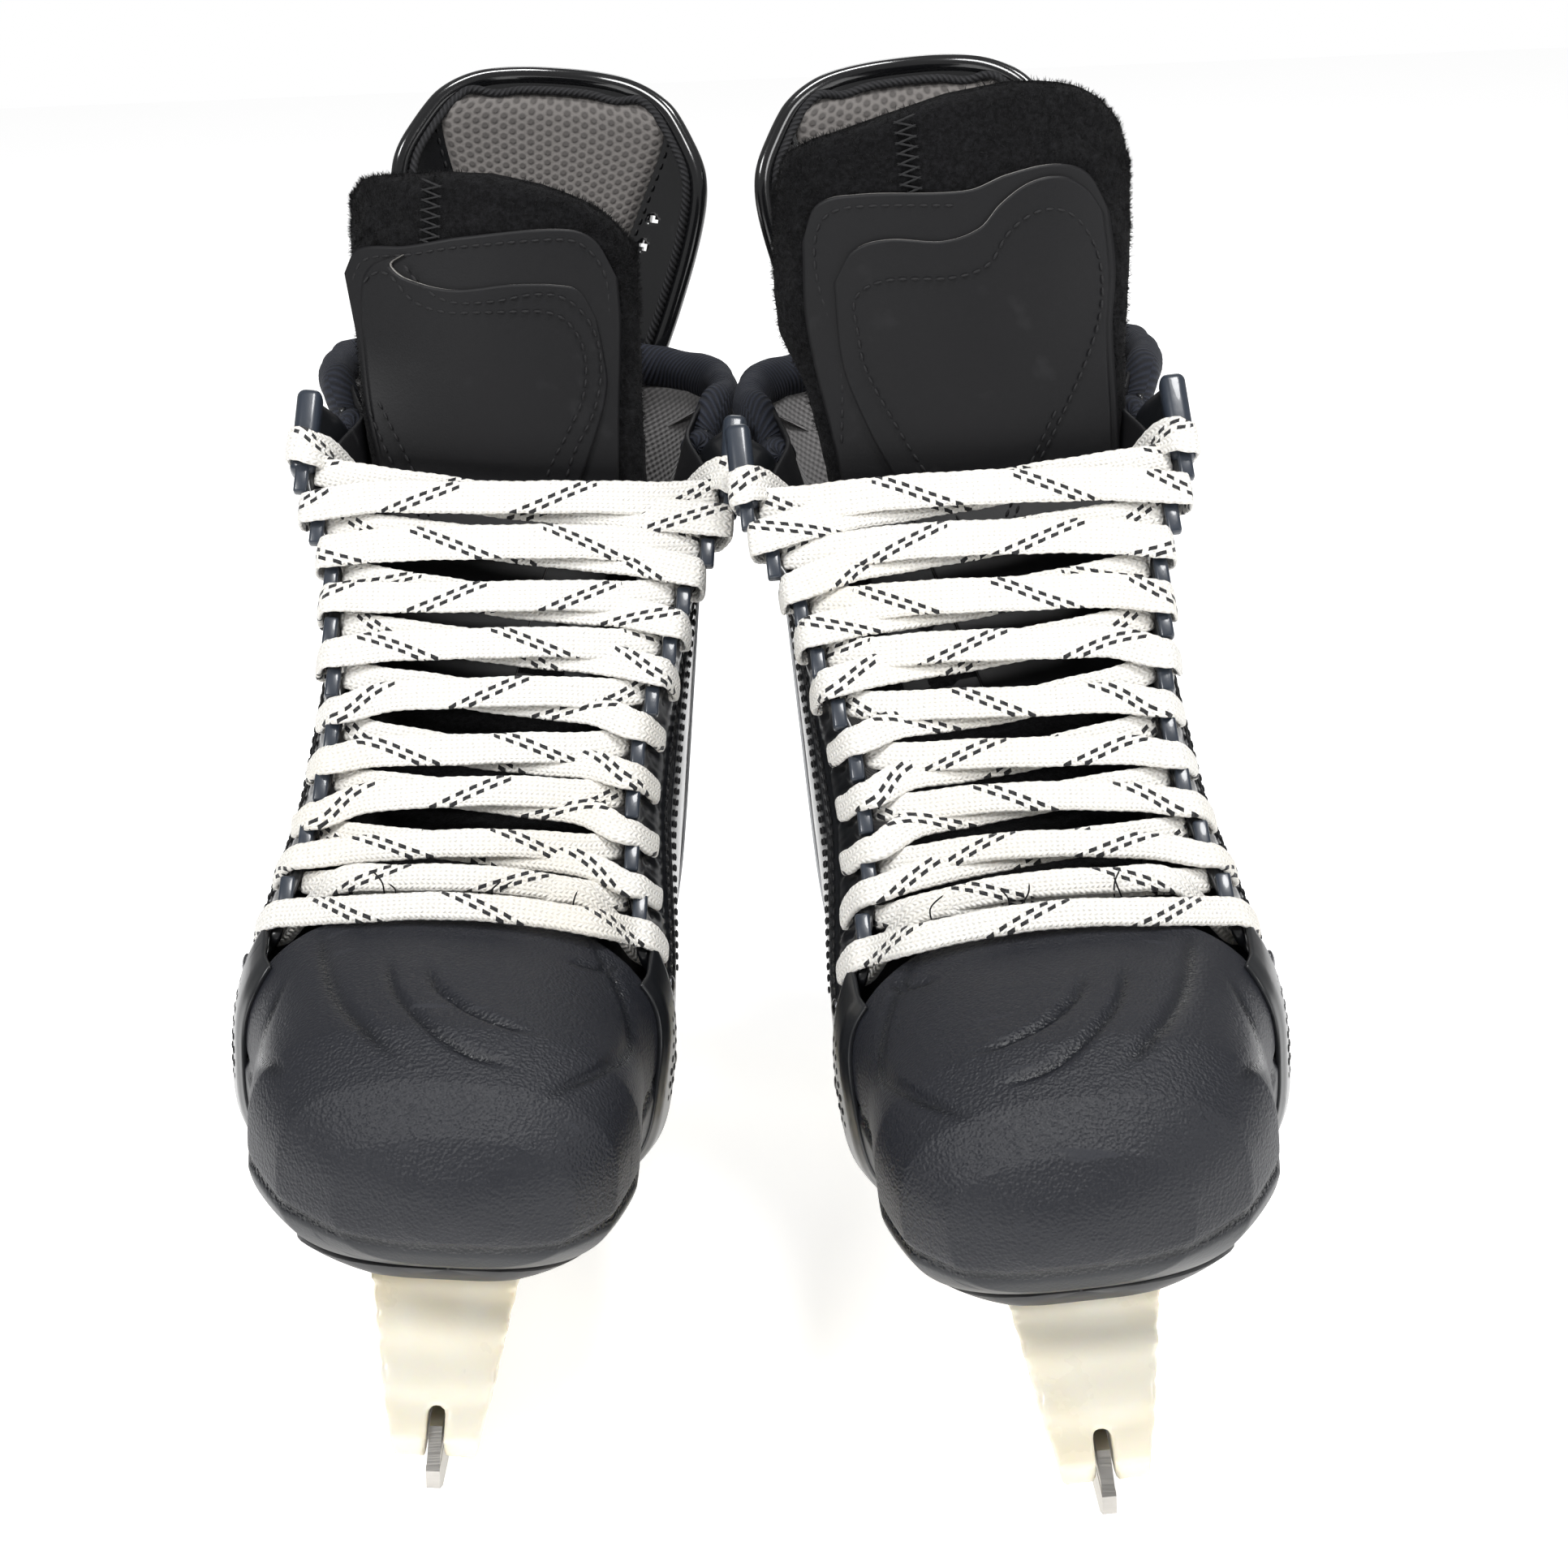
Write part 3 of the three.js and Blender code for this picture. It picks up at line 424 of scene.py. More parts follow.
def piece(bm, skate, name, material, body, replaces=(), middle=None):
    """Puts a mesh made in a skate's own millimetres in the row frame as a piece that rides on a body."""
    bmesh.ops.transform(bm, matrix=PLACE[skate], verts=bm.verts)
    face_out(bm, PLACE[skate] @ Vector(middle) if middle is not None else None)
    mesh = as_mesh(bm, f"{skate}_{name}")
    mesh.polygons.foreach_set("use_smooth", [True] * len(mesh.polygons))
    mesh.materials.append(material)
    obj = linked(f"{skate}_{name}", mesh)
    if replaces:
        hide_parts(*(f"{skate}_{node}" for node in replaces))
    if body:
        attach(obj, f"{skate}_{body}")
    return obj


def thicken(obj, mm, offset=-1.0):
    """Gives a sheet its wall, inwards by default."""
    wall = obj.modifiers.new("wall", "SOLIDIFY")
    wall.thickness = mm * MM
    wall.offset = offset
    wall.use_even_offset = False
    return obj


def round_edges(obj, mm, segments=2, angle=35):
    edge = obj.modifiers.new("rounded edges", "BEVEL")
    edge.width = mm * MM
    edge.segments = segments
    edge.limit_method = "ANGLE"
    edge.angle_limit = math.radians(angle)
    edge.harden_normals = False
    return obj


def tube(points, radius, sides, squash=1.0, step=1.0, ribs=0.0, rib_length=2.0, ends=True, across=None):
    """A round or flattened bar along a smooth curve; across gives the direction its width keeps to."""
    spine = [Vector(p) for p in curve_through([tuple(p) for p in points], step)]
    count = len(spine) - 1
    tangents = [(spine[min(i + 1, count)] - spine[max(i - 1, 0)]).normalized() for i in range(count + 1)]
    normal = Vector(across) if across is not None else tangents[0].orthogonal()
    frames = []
    for tangent in tangents:
        normal = (Vector(across) if across is not None else normal)
        normal = (normal - tangent * normal.dot(tangent)).normalized()
        frames.append((normal.copy(), tangent.cross(normal)))

    def place(a, b):
        i = round(b * count)
        u, v = frames[i]
        angle = a * math.tau
        cap = 1.0
        if ends:
            near = min(b, 1 - b) * count * step
            cap = math.sqrt(max(0.0, 1 - (1 - clamp(near / radius)) ** 2))
        r = radius * cap * (1 + ribs * math.sin(i * step / rib_length * math.tau))
        return spine[i] + u * (math.cos(angle) * r) + v * (math.sin(angle) * r * squash)

    return grid(sides, count, place, closed=True, size=(math.tau * radius * MM, count * step * MM))


def bend(skate, body, y, low, high, pieces):
    """Bakes each piece's place into its mesh; the points at the two heights are worked out but not used, and nothing
    bends. body is not used.
    """
    below, above = (PLACE[skate] @ Vector((0, y, z)) for z in (low, high))
    for obj in pieces:
        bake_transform(obj)
        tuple(below)
        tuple(above)


def join(*meshes):
    """Several bmeshes as one."""
    whole = meshes[0]
    for other in meshes[1:]:
        part = as_mesh(other, "part")
        whole.from_mesh(part)
        bpy.data.meshes.remove(part)
    return whole


# ---------- camera and light ----------
scene = bpy.context.scene
scene.view_settings.view_transform = "Standard"
target = Vector((0.00961, -0.00212, 0.12385))
turn, tilt, roll = math.radians(-0.34), math.radians(18.11), math.radians(-2.21)
away = Vector((math.sin(turn) * math.cos(tilt), -math.cos(turn) * math.cos(tilt), math.sin(tilt)))
camera = linked("camera", bpy.data.cameras.new("camera"))
camera.data.lens = 65.2
camera.data.sensor_width = 36
camera.data.clip_start = 0.05
right_axis = away.cross(Vector((0, 0, -1))).normalized()
up_axis = away.cross(right_axis).normalized()
cr, sr = math.cos(roll), math.sin(roll)
axis_x, axis_y = right_axis * cr + up_axis * sr, up_axis * cr - right_axis * sr
camera.matrix_world = Matrix.Translation(target + away * 0.6903) @ Matrix(
    ((axis_x.x, axis_y.x, away.x), (axis_x.y, axis_y.y, away.y), (axis_x.z, axis_y.z, away.z))
).to_4x4()
scene.camera = camera


LAMPS = (("window", (-0.9, -1.1, 1.5), 0.6, 18), ("ceiling", (0.30, -0.35, 1.7), 0.45, 15),
         ("side fill", (1.4, -0.9, 0.9), 0.6, 6), ("rear fill", (0.2, 1.6, 1.1), 0.8, 4))
for lamp_name, spot, width, watts in LAMPS:
    light = bpy.data.lights.new(lamp_name, "AREA")
    light.shape, light.size, light.energy = "DISK", width, watts
    lamp = linked(lamp_name, light)
    lamp.location = spot
    lamp.rotation_euler = (Vector((0, 0, 0.12)) - Vector(spot)).to_track_quat("-Z", "Y").to_euler()
world = bpy.data.worlds.new("studio")
world.use_nodes = True
world.node_tree.nodes["Background"].inputs["Color"].default_value = (1, 1, 1, 1)
shade = world.node_tree.nodes["Background"].inputs["Strength"]
seen = world.node_tree.nodes.new("ShaderNodeMapRange")
seen.inputs["To Min"].default_value = 0.31
seen.inputs["To Max"].default_value = 1.0
path = world.node_tree.nodes.new("ShaderNodeLightPath")
world.node_tree.links.new(path.outputs["Is Camera Ray"], seen.inputs["Value"])
world.node_tree.links.new(seen.outputs[0], shade)
scene.world = world


# ---------- finishes ----------
def feed(tree, socket, value):
    """Joins a socket to another, or sets its number."""
    value = getattr(value, "socket", value)
    if isinstance(value, bpy.types.NodeSocket):
        tree.links.new(value, socket)
    else:
        socket.default_value = value


def node(tree, kind, values=None, **settings):
    """A shader node; values holds what goes on its inputs, numbers or sockets."""
    n = tree.nodes.new("ShaderNode" + kind)
    for key, value in settings.items():
        setattr(n, key, value)
    for key, value in (values or {}).items():
        feed(tree, n.inputs[key], value)
    return n


class Signal:
    """A number in a shader tree that takes part in arithmetic."""

    def __init__(self, tree, socket):
        self.tree, self.socket = tree, socket

    def math(self, operation, other=0.0):
        return Signal(self.tree, node(self.tree, "Math", {0: self, 1: other}, operation=operation).outputs[0])

    def __add__(self, other):
        return self.math("ADD", other)

    def __sub__(self, other):
        return self.math("SUBTRACT", other)

    def __mul__(self, other):
        return self.math("MULTIPLY", other)

    def __mod__(self, other):
        return self.math("MODULO", other)


def group(name, inputs, outputs):
    tree = bpy.data.node_groups.new(name, "ShaderNodeTree")
    for label, kind, value in inputs:
        socket = tree.interface.new_socket(label, in_out="INPUT", socket_type="NodeSocket" + kind)
        if value is not None:
            socket.default_value = value
    for label, kind in outputs:
        tree.interface.new_socket(label, in_out="OUTPUT", socket_type="NodeSocket" + kind)
    return tree, tree.nodes.new("NodeGroupInput").outputs, tree.nodes.new("NodeGroupOutput").inputs


# Fine grain: the height of a surface's own texture.
grain, g_in, g_out = group(
    "fine grain", [("Vector", "Vector", None), ("Scale", "Float", 900.0), ("Soft", "Float", 0.5)], [("Height", "Float")]
)
pebbles = node(grain, "TexVoronoi", {"Vector": g_in["Vector"], "Scale": g_in["Scale"]}, feature="SMOOTH_F1")
dust_noise = node(grain, "TexNoise", {"Vector": g_in["Vector"], "Scale": g_in["Scale"], "Detail": 4.0})
grain_mix = node(
    grain, "Mix", {"Factor": g_in["Soft"], "A": pebbles.outputs["Distance"], "B": dust_noise.outputs["Fac"]}
)
grain.links.new(grain_mix.outputs["Result"], g_out["Height"])

# Wear: broad smudges and thin scuffs, which lighten and roughen.
wear, w_in, w_out = group(
    "handling wear", [("Vector", "Vector", None), ("Amount", "Float", 0.3)], [("Smudge", "Float"), ("Scuff", "Float")]
)
smudge = node(wear, "TexNoise", {"Vector": w_in["Vector"], "Scale": 28.0, "Detail": 6.0, "Roughness": 0.6})
stretched = node(wear, "Mapping", {"Vector": w_in["Vector"], "Scale": (60, 420, 90), "Rotation": (0.4, 0.2, 0.9)})
scuff = node(wear, "TexNoise", {"Vector": stretched.outputs[0], "Scale": 1.0, "Detail": 3.0})
scuffed = node(wear, "MapRange", {"Value": scuff.outputs["Fac"], "From Min": 0.66, "From Max": 0.76})
feed(wear, w_out["Smudge"], Signal(wear, smudge.outputs["Fac"]) * w_in["Amount"])
feed(wear, w_out["Scuff"], Signal(wear, scuffed.outputs[0]) * w_in["Amount"])

# Weave: a basket of threads across and along a cloth, in metres.
weave, v_in, v_out = group(
    "basket weave", [("Vector", "Vector", None), ("Thread", "Float", 0.0009)], [("Height", "Float")]
)
parts = node(weave, "SeparateXYZ", {0: v_in["Vector"]}).outputs
pace = node(weave, "Math", {0: math.pi, 1: v_in["Thread"]}, operation="DIVIDE").outputs[0]
over, under = ((Signal(weave, parts[i]) * pace).math("SINE") for i in (0, 1))
feed(weave, v_out["Height"], over * under)


class Finish:
    """One material being made: its tree, its shader and where its pattern is read."""

    def __init__(self, name, colour, rough, **shader):
        self.material = bpy.data.materials.new(name)
        self.material.use_nodes = True
        self.tree = self.material.node_tree
        self.shader = self.tree.nodes["Principled BSDF"]
        self.place = self.node("TexCoord").outputs["Object"]
        for key, value in {"Base Color": (*colour, 1), "Roughness": rough, **shader}.items():
            self.shader.inputs[key.replace("_", " ")].default_value = value

    def node(self, kind, values=None, **settings):
        return node(self.tree, kind, values, **settings)

    def use(self, tree, values):
        n = self.tree.nodes.new("ShaderNodeGroup")
        n.node_tree = tree
        for key, value in values.items():
            feed(self.tree, n.inputs[key], value)
        return n.outputs

    def set(self, key, value):
        feed(self.tree, self.shader.inputs[key], value)

    def cloth(self, *scale):
        """The piece's own cloth map in metres, or in pitches of a pattern, as two signals."""
        uv = self.node("UVMap", uv_map="cloth").outputs[0]
        if scale:
            uv = self.node("Mapping", {"Vector": uv, "Scale": scale}).outputs[0]
        x, y, _ = self.node("SeparateXYZ", {0: uv}).outputs
        return Signal(self.tree, x), Signal(self.tree, y)

    def tint(self, a, b, factor):
        colour = self.node("Mix", {"Factor": factor}, data_type="RGBA")
        for name, value in (("A", a), ("B", b)):
            socket = next(s for s in colour.inputs if s.name == name and s.type == "RGBA")
            feed(self.tree, socket, (*value, 1) if isinstance(value, tuple) else value)
        return next(s for s in colour.outputs if s.type == "RGBA")

    def ramp(self, value, low, high, out_low=0.0, out_high=1.0):
        values = {"Value": value, "From Min": low, "From Max": high, "To Min": out_low, "To Max": out_high}
        return Signal(self.tree, self.node("MapRange", values).outputs[0])

    def bump(self, height, distance):
        bump = self.node("Bump", {"Height": height, "Distance": distance, "Strength": 1.0})
        previous = self.shader.inputs["Normal"].links
        if previous:
            self.tree.links.new(previous[0].from_socket, bump.inputs["Normal"])
        self.set("Normal", bump.outputs[0])

    def noise(self, scale, detail=4.0, roughness=0.55, place=None):
        values = {"Vector": place or self.place, "Scale": scale, "Detail": detail, "Roughness": roughness}
        return self.node("TexNoise", values).outputs["Fac"]


def plain(name, colour, rough, light=None, grain_scale=900.0, depth=0.00006, soft=0.5, worn=0.3, **shader):
    """Moulded plastic or leather: grain, handling wear and a slow drift of colour."""
    f = Finish(name, colour, rough, **shader)
    marks = f.use(wear, {"Vector": f.place, "Amount": worn})
    base = f.tint(colour, light or tuple(c * 1.7 + 0.006 for c in colour), marks["Smudge"])
    f.set("Base Color", f.tint(base, tuple(c * 2.2 + 0.03 for c in colour), marks["Scuff"]))
    smudged = f.ramp(marks["Smudge"], 0.0, worn, rough - 0.05, rough + 0.09)
    f.set("Roughness", smudged + marks["Scuff"])
    f.bump(f.use(grain, {"Vector": f.place, "Scale": grain_scale, "Soft": soft})["Height"], depth)
    return f


quarter_black = plain("gloss quarter", (0.007, 0.0078, 0.0095), 0.3, grain_scale=700, depth=0.00003, Coat_Weight=0.35,
                      Coat_Roughness=0.12).material
cap_finish = plain("pebbled cap", (0.0105, 0.0115, 0.016), 0.45, (0.017, 0.0187, 0.026), 1500, 0.00042, 0.45, 0.35,
                   Specular_IOR_Level=0.4)
polished = cap_finish.node("Attribute", attribute_name="polish").outputs["Fac"]
rough_before, colour_before = (cap_finish.shader.inputs[key].links[0].from_socket
                               for key in ("Roughness", "Base Color"))
shine_mix = cap_finish.node("Mix", {"Factor": polished, "A": rough_before, "B": 0.15})
cap_finish.set("Roughness", shine_mix.outputs["Result"])
cap_finish.set("Base Color", cap_finish.tint(colour_before, (0.006, 0.007, 0.009), polished))
cap_black = cap_finish.material
cap_band = plain("smooth cap band", (0.009, 0.0105, 0.0135), 0.38, grain_scale=1500, depth=0.00008,
                 Specular_IOR_Level=0.4).material
sole_black = plain("composite sole", (0.012, 0.012, 0.0135), 0.42, grain_scale=500).material
cover_black = plain("smooth tongue cover", (0.0042, 0.0042, 0.0052), 0.5, grain_scale=1700, depth=0.00005, soft=0.8,
                    worn=0.2, Specular_IOR_Level=0.3).material
cut_grey = plain("grey cut edge", (0.27, 0.26, 0.245), 0.85, grain_scale=2500, depth=0.0001).material
guard_black = plain("gloss guard", (0.0055, 0.0057, 0.0065), 0.16, Coat_Weight=0.6, Coat_Roughness=0.06, worn=0.15,
                    depth=0.00002).material
slate = plain("slate rail", (0.022, 0.029, 0.042), 0.28, Coat_Weight=0.3, grain_scale=600, depth=0.00004).material
thread = plain("black thread", (0.005, 0.005, 0.006), 0.7, grain_scale=3500, depth=0.00012).material
trigger_black = plain("release plastic", (0.012, 0.012, 0.013), 0.35).material
pale_panel = plain("pale side panel", (0.70, 0.71, 0.73), 0.28, (0.62, 0.63, 0.66), Coat_Weight=0.3, worn=0.25).material

cream_finish = Finish("cream holder", (0.87, 0.82, 0.68), 0.3, Subsurface_Weight=0.35, Coat_Weight=0.25,
                      Coat_Roughness=0.15, Subsurface_Radius=(0.006, 0.0045, 0.002))
cloudy = cream_finish.ramp(cream_finish.noise(22, 3), 0.4, 0.66)
cream_finish.set("Base Color", cream_finish.tint((0.90, 0.855, 0.725), (0.84, 0.74, 0.52), cloudy))
cream_finish.set("Roughness", cream_finish.ramp(cream_finish.noise(60), 0.3, 0.7, 0.24, 0.4))
cream_finish.bump(cream_finish.noise(260), 0.00005)
holder_cream = cream_finish.material


def steel(name, colour, rough, streak):
    """Ground or turned metal; streak is how finely it is drawn out along each axis."""
    f = Finish(name, colour, rough, Metallic=1.0)
    lines = f.node("Mapping", {"Vector": f.place, "Scale": streak})
    ground = f.noise(1.0, 3.0, 0.5, lines.outputs[0])
    f.set("Roughness", f.ramp(ground, 0.3, 0.7, rough - 0.08, rough + 0.12))
    f.set("Base Color", f.tint(colour, tuple(c * 0.72 for c in colour), f.ramp(f.noise(35), 0.35, 0.7)))
    f.bump(ground, 0.00003)
    return f.material


runner_steel = steel("ground runner", (0.55, 0.53, 0.50), 0.36, (60, 60, 4200))
small_steel = steel("turned steel", (0.6, 0.6, 0.6), 0.26, (900, 900, 900))
rivet_steel = steel("dark rivet", (0.16, 0.16, 0.17), 0.3, (1500, 1500, 1500))

felt_finish = Finish("thick felt", (0.0045, 0.0045, 0.0052), 0.95, Sheen_Weight=0.06, Sheen_Roughness=0.5,
                     Specular_IOR_Level=0.1)
tangle = felt_finish.noise(850, 8, 0.75)
felt_tint = felt_finish.tint((0.0022, 0.0022, 0.0026), (0.017, 0.017, 0.019), felt_finish.ramp(tangle, 0.42, 0.75))
felt_finish.set("Base Color", felt_tint)
felt_finish.bump(tangle, 0.0007)
felt_finish.bump(felt_finish.noise(160, 4), 0.0008)
felt_black = felt_finish.material


def woven(name, colour, light, kind, pitch, depth, rough=0.85, **shader):
    """A knitted or woven cloth read from the piece's own cloth map, in metres."""
    f = Finish(name, colour, rough, **shader)
    if kind == "hex":
        x, y = f.cloth(1 / pitch, 1 / pitch, 1)
        waves = [((x * cx + y * cy) * math.tau).math("COSINE") for cx, cy in ((1, 0), (0.5, 0.866), (0.5, -0.866))]
        height = f.ramp(waves[0] + waves[1] + waves[2], -1.0, 1.2)
    elif kind == "rib":
        x, y = f.cloth()
        height = f.ramp(((x * 0.6 + y) * (math.tau / pitch)).math("SINE"), -1, 1)
    else:
        uv = f.node("UVMap", uv_map="cloth").outputs[0]
        height = f.ramp(f.use(weave, {"Vector": uv, "Thread": pitch})["Height"], -0.8, 0.8)
    f.set("Base Color", f.tint(colour, light, height))
    f.set("Roughness", f.ramp(f.noise(300), 0.3, 0.7, rough - 0.08, rough + 0.05))
    f.bump(height, depth)
    f.bump(f.noise(2200, 3), 0.00012)
    return f.material


pad_mesh = woven("hexagon mesh", (0.17, 0.158, 0.150), (0.085, 0.078, 0.074), "hex", 0.0023, 0.0003, Sheen_Weight=0.2)
liner_mesh = woven("liner mesh", (0.17, 0.165, 0.165), (0.28, 0.27, 0.27), "weave", 0.0011, 0.0003, Sheen_Weight=0.2)
collar_cloth = woven("ribbed collar", (0.0045, 0.0055, 0.010), (0.016, 0.020, 0.034), "rib", 0.0017, 0.0004)
binding_cloth = woven("fuzzy binding", (0.006, 0.006, 0.007), (0.022, 0.022, 0.025), "rib", 0.0016, 0.0003)
sole_cloth = woven("footbed cloth", (0.012, 0.012, 0.014), (0.03, 0.03, 0.034), "weave", 0.0013, 0.0002)

# The lace: a tubular weave of small chevrons with two rows of dashes that cross it.
lf = Finish("flat woven lace", (0.9, 0.88, 0.83), 0.82, Sheen_Weight=0.25, Sheen_Roughness=0.5, Subsurface_Weight=0.12,
            Subsurface_Radius=(0.002, 0.0018, 0.0015))
STRAND, TWIST = 0.00105, 0.00125  # metres across and along one chevron
REPEAT, CROSSING = 0.032, 0.0088 / 0.019  # metres between crossings of the dashed rows, and their slope
lu, lv = lf.cloth()
columns = lu.math("PINGPONG", STRAND)
knots = ((lv + columns * 0.9) * (math.tau / TWIST)).math("SINE")
ridge = (columns * (math.pi / STRAND)).math("SINE")
cloth = lf.ramp(knots, -1, 1) * 0.65 + ridge * 0.5
slant = lu - (lv % REPEAT * CROSSING - 0.0044)
dashes = []
for offset in (0.0, 0.0019):
    near_row = (slant - (offset - 0.0009)).math("ABSOLUTE").math("LESS_THAN", 0.00052)
    dash = ((lv + offset * 0.84) % 0.0031).math("LESS_THAN", 0.0018)
    dashes.append(near_row * dash)
tracer = dashes[0].math("MAXIMUM", dashes[1])
cream = lf.tint((0.89, 0.87, 0.825), (0.77, 0.745, 0.68), lf.ramp(cloth, 0.55, 0.05))
yellowed = lf.tint(cream, (0.83, 0.76, 0.62), lf.ramp(lf.noise(16, 2), 0.52, 0.8, 0.0, 0.55))
lf.set("Base Color", lf.tint(yellowed, (0.012, 0.012, 0.014), tracer))
lf.bump(cloth, 0.00028)
lf.bump(lf.noise(1500, 5), 0.0002)
lace_white = lf.material


# ---------- the laces ----------
def ribbon(points, thick=1.25, step=1.0):
    """A flat lace: each point is x, y, z, width and the direction of its width."""
    path = curve_through([tuple(p) + (w,) + tuple(d) for p, w, d in points], step)
    count = len(path) - 1
    spine = [Vector(p[:3]) for p in path]
    frames = []
    for i, p in enumerate(path):
        tangent = (spine[min(i + 2, count)] - spine[max(i - 2, 0)]).normalized()
        wide = Vector(p[4:7])
        wide = (wide - tangent * wide.dot(tangent)).normalized()
        frames.append((wide, tangent.cross(wide)))

    def place(a, b):
        i = round(b * count)
        wide, flat = frames[i]
        u, d = rounded(a, 0.55, 0.75)
        half = path[i][3] / 2 * (1 + 0.025 * math.sin(i * 2.1) + 0.02 * math.sin(i * 0.37))
        depth = thick / 2 * (1 + 1.1 * clamp((8.4 - path[i][3]) / 5))
        return spine[i] + wide * (half * u) + flat * (depth * d)

    def across(a, b):
        return path[round(clamp(b) * count)][3] / 2 * MM * rounded(a, 0.55, 1)[0] + 0.0063

    length = sum(math.dist(a, b) for a, b in zip(spine, spine[1:]))
    return grid(18, count, place, closed=True, size=(1, length * MM), across=across), length


def edge_direction(t):
    """The way up the free edge at t."""
    _, _, dy, dz = edge_point(t, 0)
    return Vector((0, dy, dz))


def crown(t):
    """How much fuller the instep is at t of the way up the free edge."""
    return 14 * max(0.0, 1 - t / 0.4) ** 2

def lace_strand(rng, first, over, heights):
    """One end of the lace, from its lowest eyelet up: out of each eyelet, over the free edge and across."""
    points, side = [], first

    def put(side, t, depth, out, width, lean=0.0):
        way = edge_direction(t)
        way.x = lean
        points.append((strip_point(side, t, depth, out), width, way))

    for row in range(ROWS):
        t = row_share(row)
        wide = mix(6.6, 9.6, (row / (ROWS - 1)) ** 0.8) * rng.uniform(0.94, 1.05)
        if row > 0:
            wobble = rng.uniform(-0.012, 0.012)
            put(side, t, 7, -5.0, 4.8)
            put(side, t, 7.6, -1.0, 4.6)
            put(side, t, 6.6, 1.5, 5.4)
            put(side, t + wobble, 2.2, 2.0, wide * 0.86)
            put(side, t + wobble, -1.9, 1.2, wide * 0.9)
            put(side, t + wobble, -3.4, -1.6, wide * 0.95)
        if row == ROWS - 1:
            break
        after = row_share(row + 1)
        lift = (1 if (row % 2) == over else -1) * 1.5
        ends = [strip_point(side, t, 0, 0).x, strip_point(-side, mix(t, after, 0.7), 0, 0).x]
        for share in (0.16, 0.34, 0.5, 0.66, 0.84):
            bow = math.sin(share * math.pi)
            level = mix(t, after, mix(0.5 if row == 0 else 0.14, 0.66, share)) + heights[row] * bow
            sink = 2.6 * smooth((share - 0.7) / 0.3)
            y, z, dy, dz = edge_point(level, -2.4 - lift * bow ** 2 - 0.9 * crown(level) * bow + sink)
            x = mix(ends[0], ends[1], share)
            points.append((Vector((x, y, z)), wide, Vector((rng.uniform(-0.1, 0.1), dy, dz))))
        side = -side
        put(side, mix(t, after, 0.74), 0.5, -4.6, wide * 0.85)
        put(side, mix(t, after, 0.9), 4.0, -5.4, wide * 0.7)
    top = row_share(ROWS - 1)
    put(side, top + 0.004, -3.2, -5.2, 9)
    put(side, top + 0.008, 2.0, -7.0, 8.6)
    put(side, top - 0.01, 12, -7.4, 8)
    put(side, top - 0.05, 17, -8.2, 7)
    return points


# depth, out and width of the bar's ends where they come out of the lowest eyelets
BAR_END = ((7, -5, 4.6), (7.5, -1, 4.6), (6.6, 1.6, 5.2), (2.0, 2.2, 6.6), (-2.2, 1.4, 6.9), (-4, -2, 7))
lace_lengths = {}
for skate in SKATES:
    rng = random.Random(7 if skate == "right" else 12)
    heights = [rng.uniform(-0.012, 0.012) for _ in range(ROWS)]
    halves = [lace_strand(rng, first, k, heights) for k, first in ((1, 1), (0, -1))]
    low = row_share(0)
    bar = [[(strip_point(side, low, depth, out), width, edge_direction(low)) for depth, out, width in BAR_END]
           for side in (1, -1)]
    y, z, dy, dz = edge_point(low, -6.2 - 0.8 * crown(low))
    across_toe = [(Vector((x, y - 1.5 + abs(x) * 0.05, z - 0.5 - abs(x) * 0.12)), 6.8, Vector((0, dy, dz)))
                  for x in (26, 9, -8, -25)]
    bm, lace_lengths[skate] = ribbon(halves[0][::-1] + bar[0] + across_toe + bar[1][::-1] + halves[1])
    piece(bm, skate, "flat_lace", lace_white, "boot", ["lace"])


# ---------- boot quarters, toe cap and sole ----------
COLLAR_END = ring_through(121.8, 190.1)


def tapered(b, length, reach):
    """The share of its full width that a long sheet has at b, with rounded ends of the given reach."""
    return math.sqrt(clamp(1 - (1 - clamp(min(b, 1 - b) * length / reach)) ** 2.2))


def shell_sheet(columns, rows, first, last):
    """The boot's wall between two rings, open at the throat and the collar."""
    cache = {}

    def place(a, b):
        key = round(b * rows)
        if key not in cache:
            ring = ring_at(mix(first, last, key / rows))
            cache[key] = ring_row(ring, columns, throat_phi(ring))
        return cache[key][round(a * columns)]

    return grid(columns, rows, place, size=(0.3, 0.3))


def cut(bm, place, way, keep_front=True):
    """Cuts a mesh with a plane and drops what lies beyond it."""
    bmesh.ops.bisect_plane(bm, geom=bm.verts[:] + bm.edges[:] + bm.faces[:], plane_co=place, plane_no=way,
                           clear_outer=keep_front, clear_inner=not keep_front)
    return bm


def near_line(p, line):
    """Distance of a point from a broken line, and how far along it is, as a share."""
    best, share = 1e9, 0.0
    for i, (a, b) in enumerate(zip(line, line[1:])):
        ax, ay, bx, by = a[0], a[1], b[0], b[1]
        t = clamp(((p[0] - ax) * (bx - ax) + (p[1] - ay) * (by - ay)) / ((bx - ax) ** 2 + (by - ay) ** 2))
        d = math.hypot(p[0] - mix(ax, bx, t), p[1] - mix(ay, by, t))
        if d < best:
            best, share = d, (i + t) / (len(line) - 1)
    return best, share


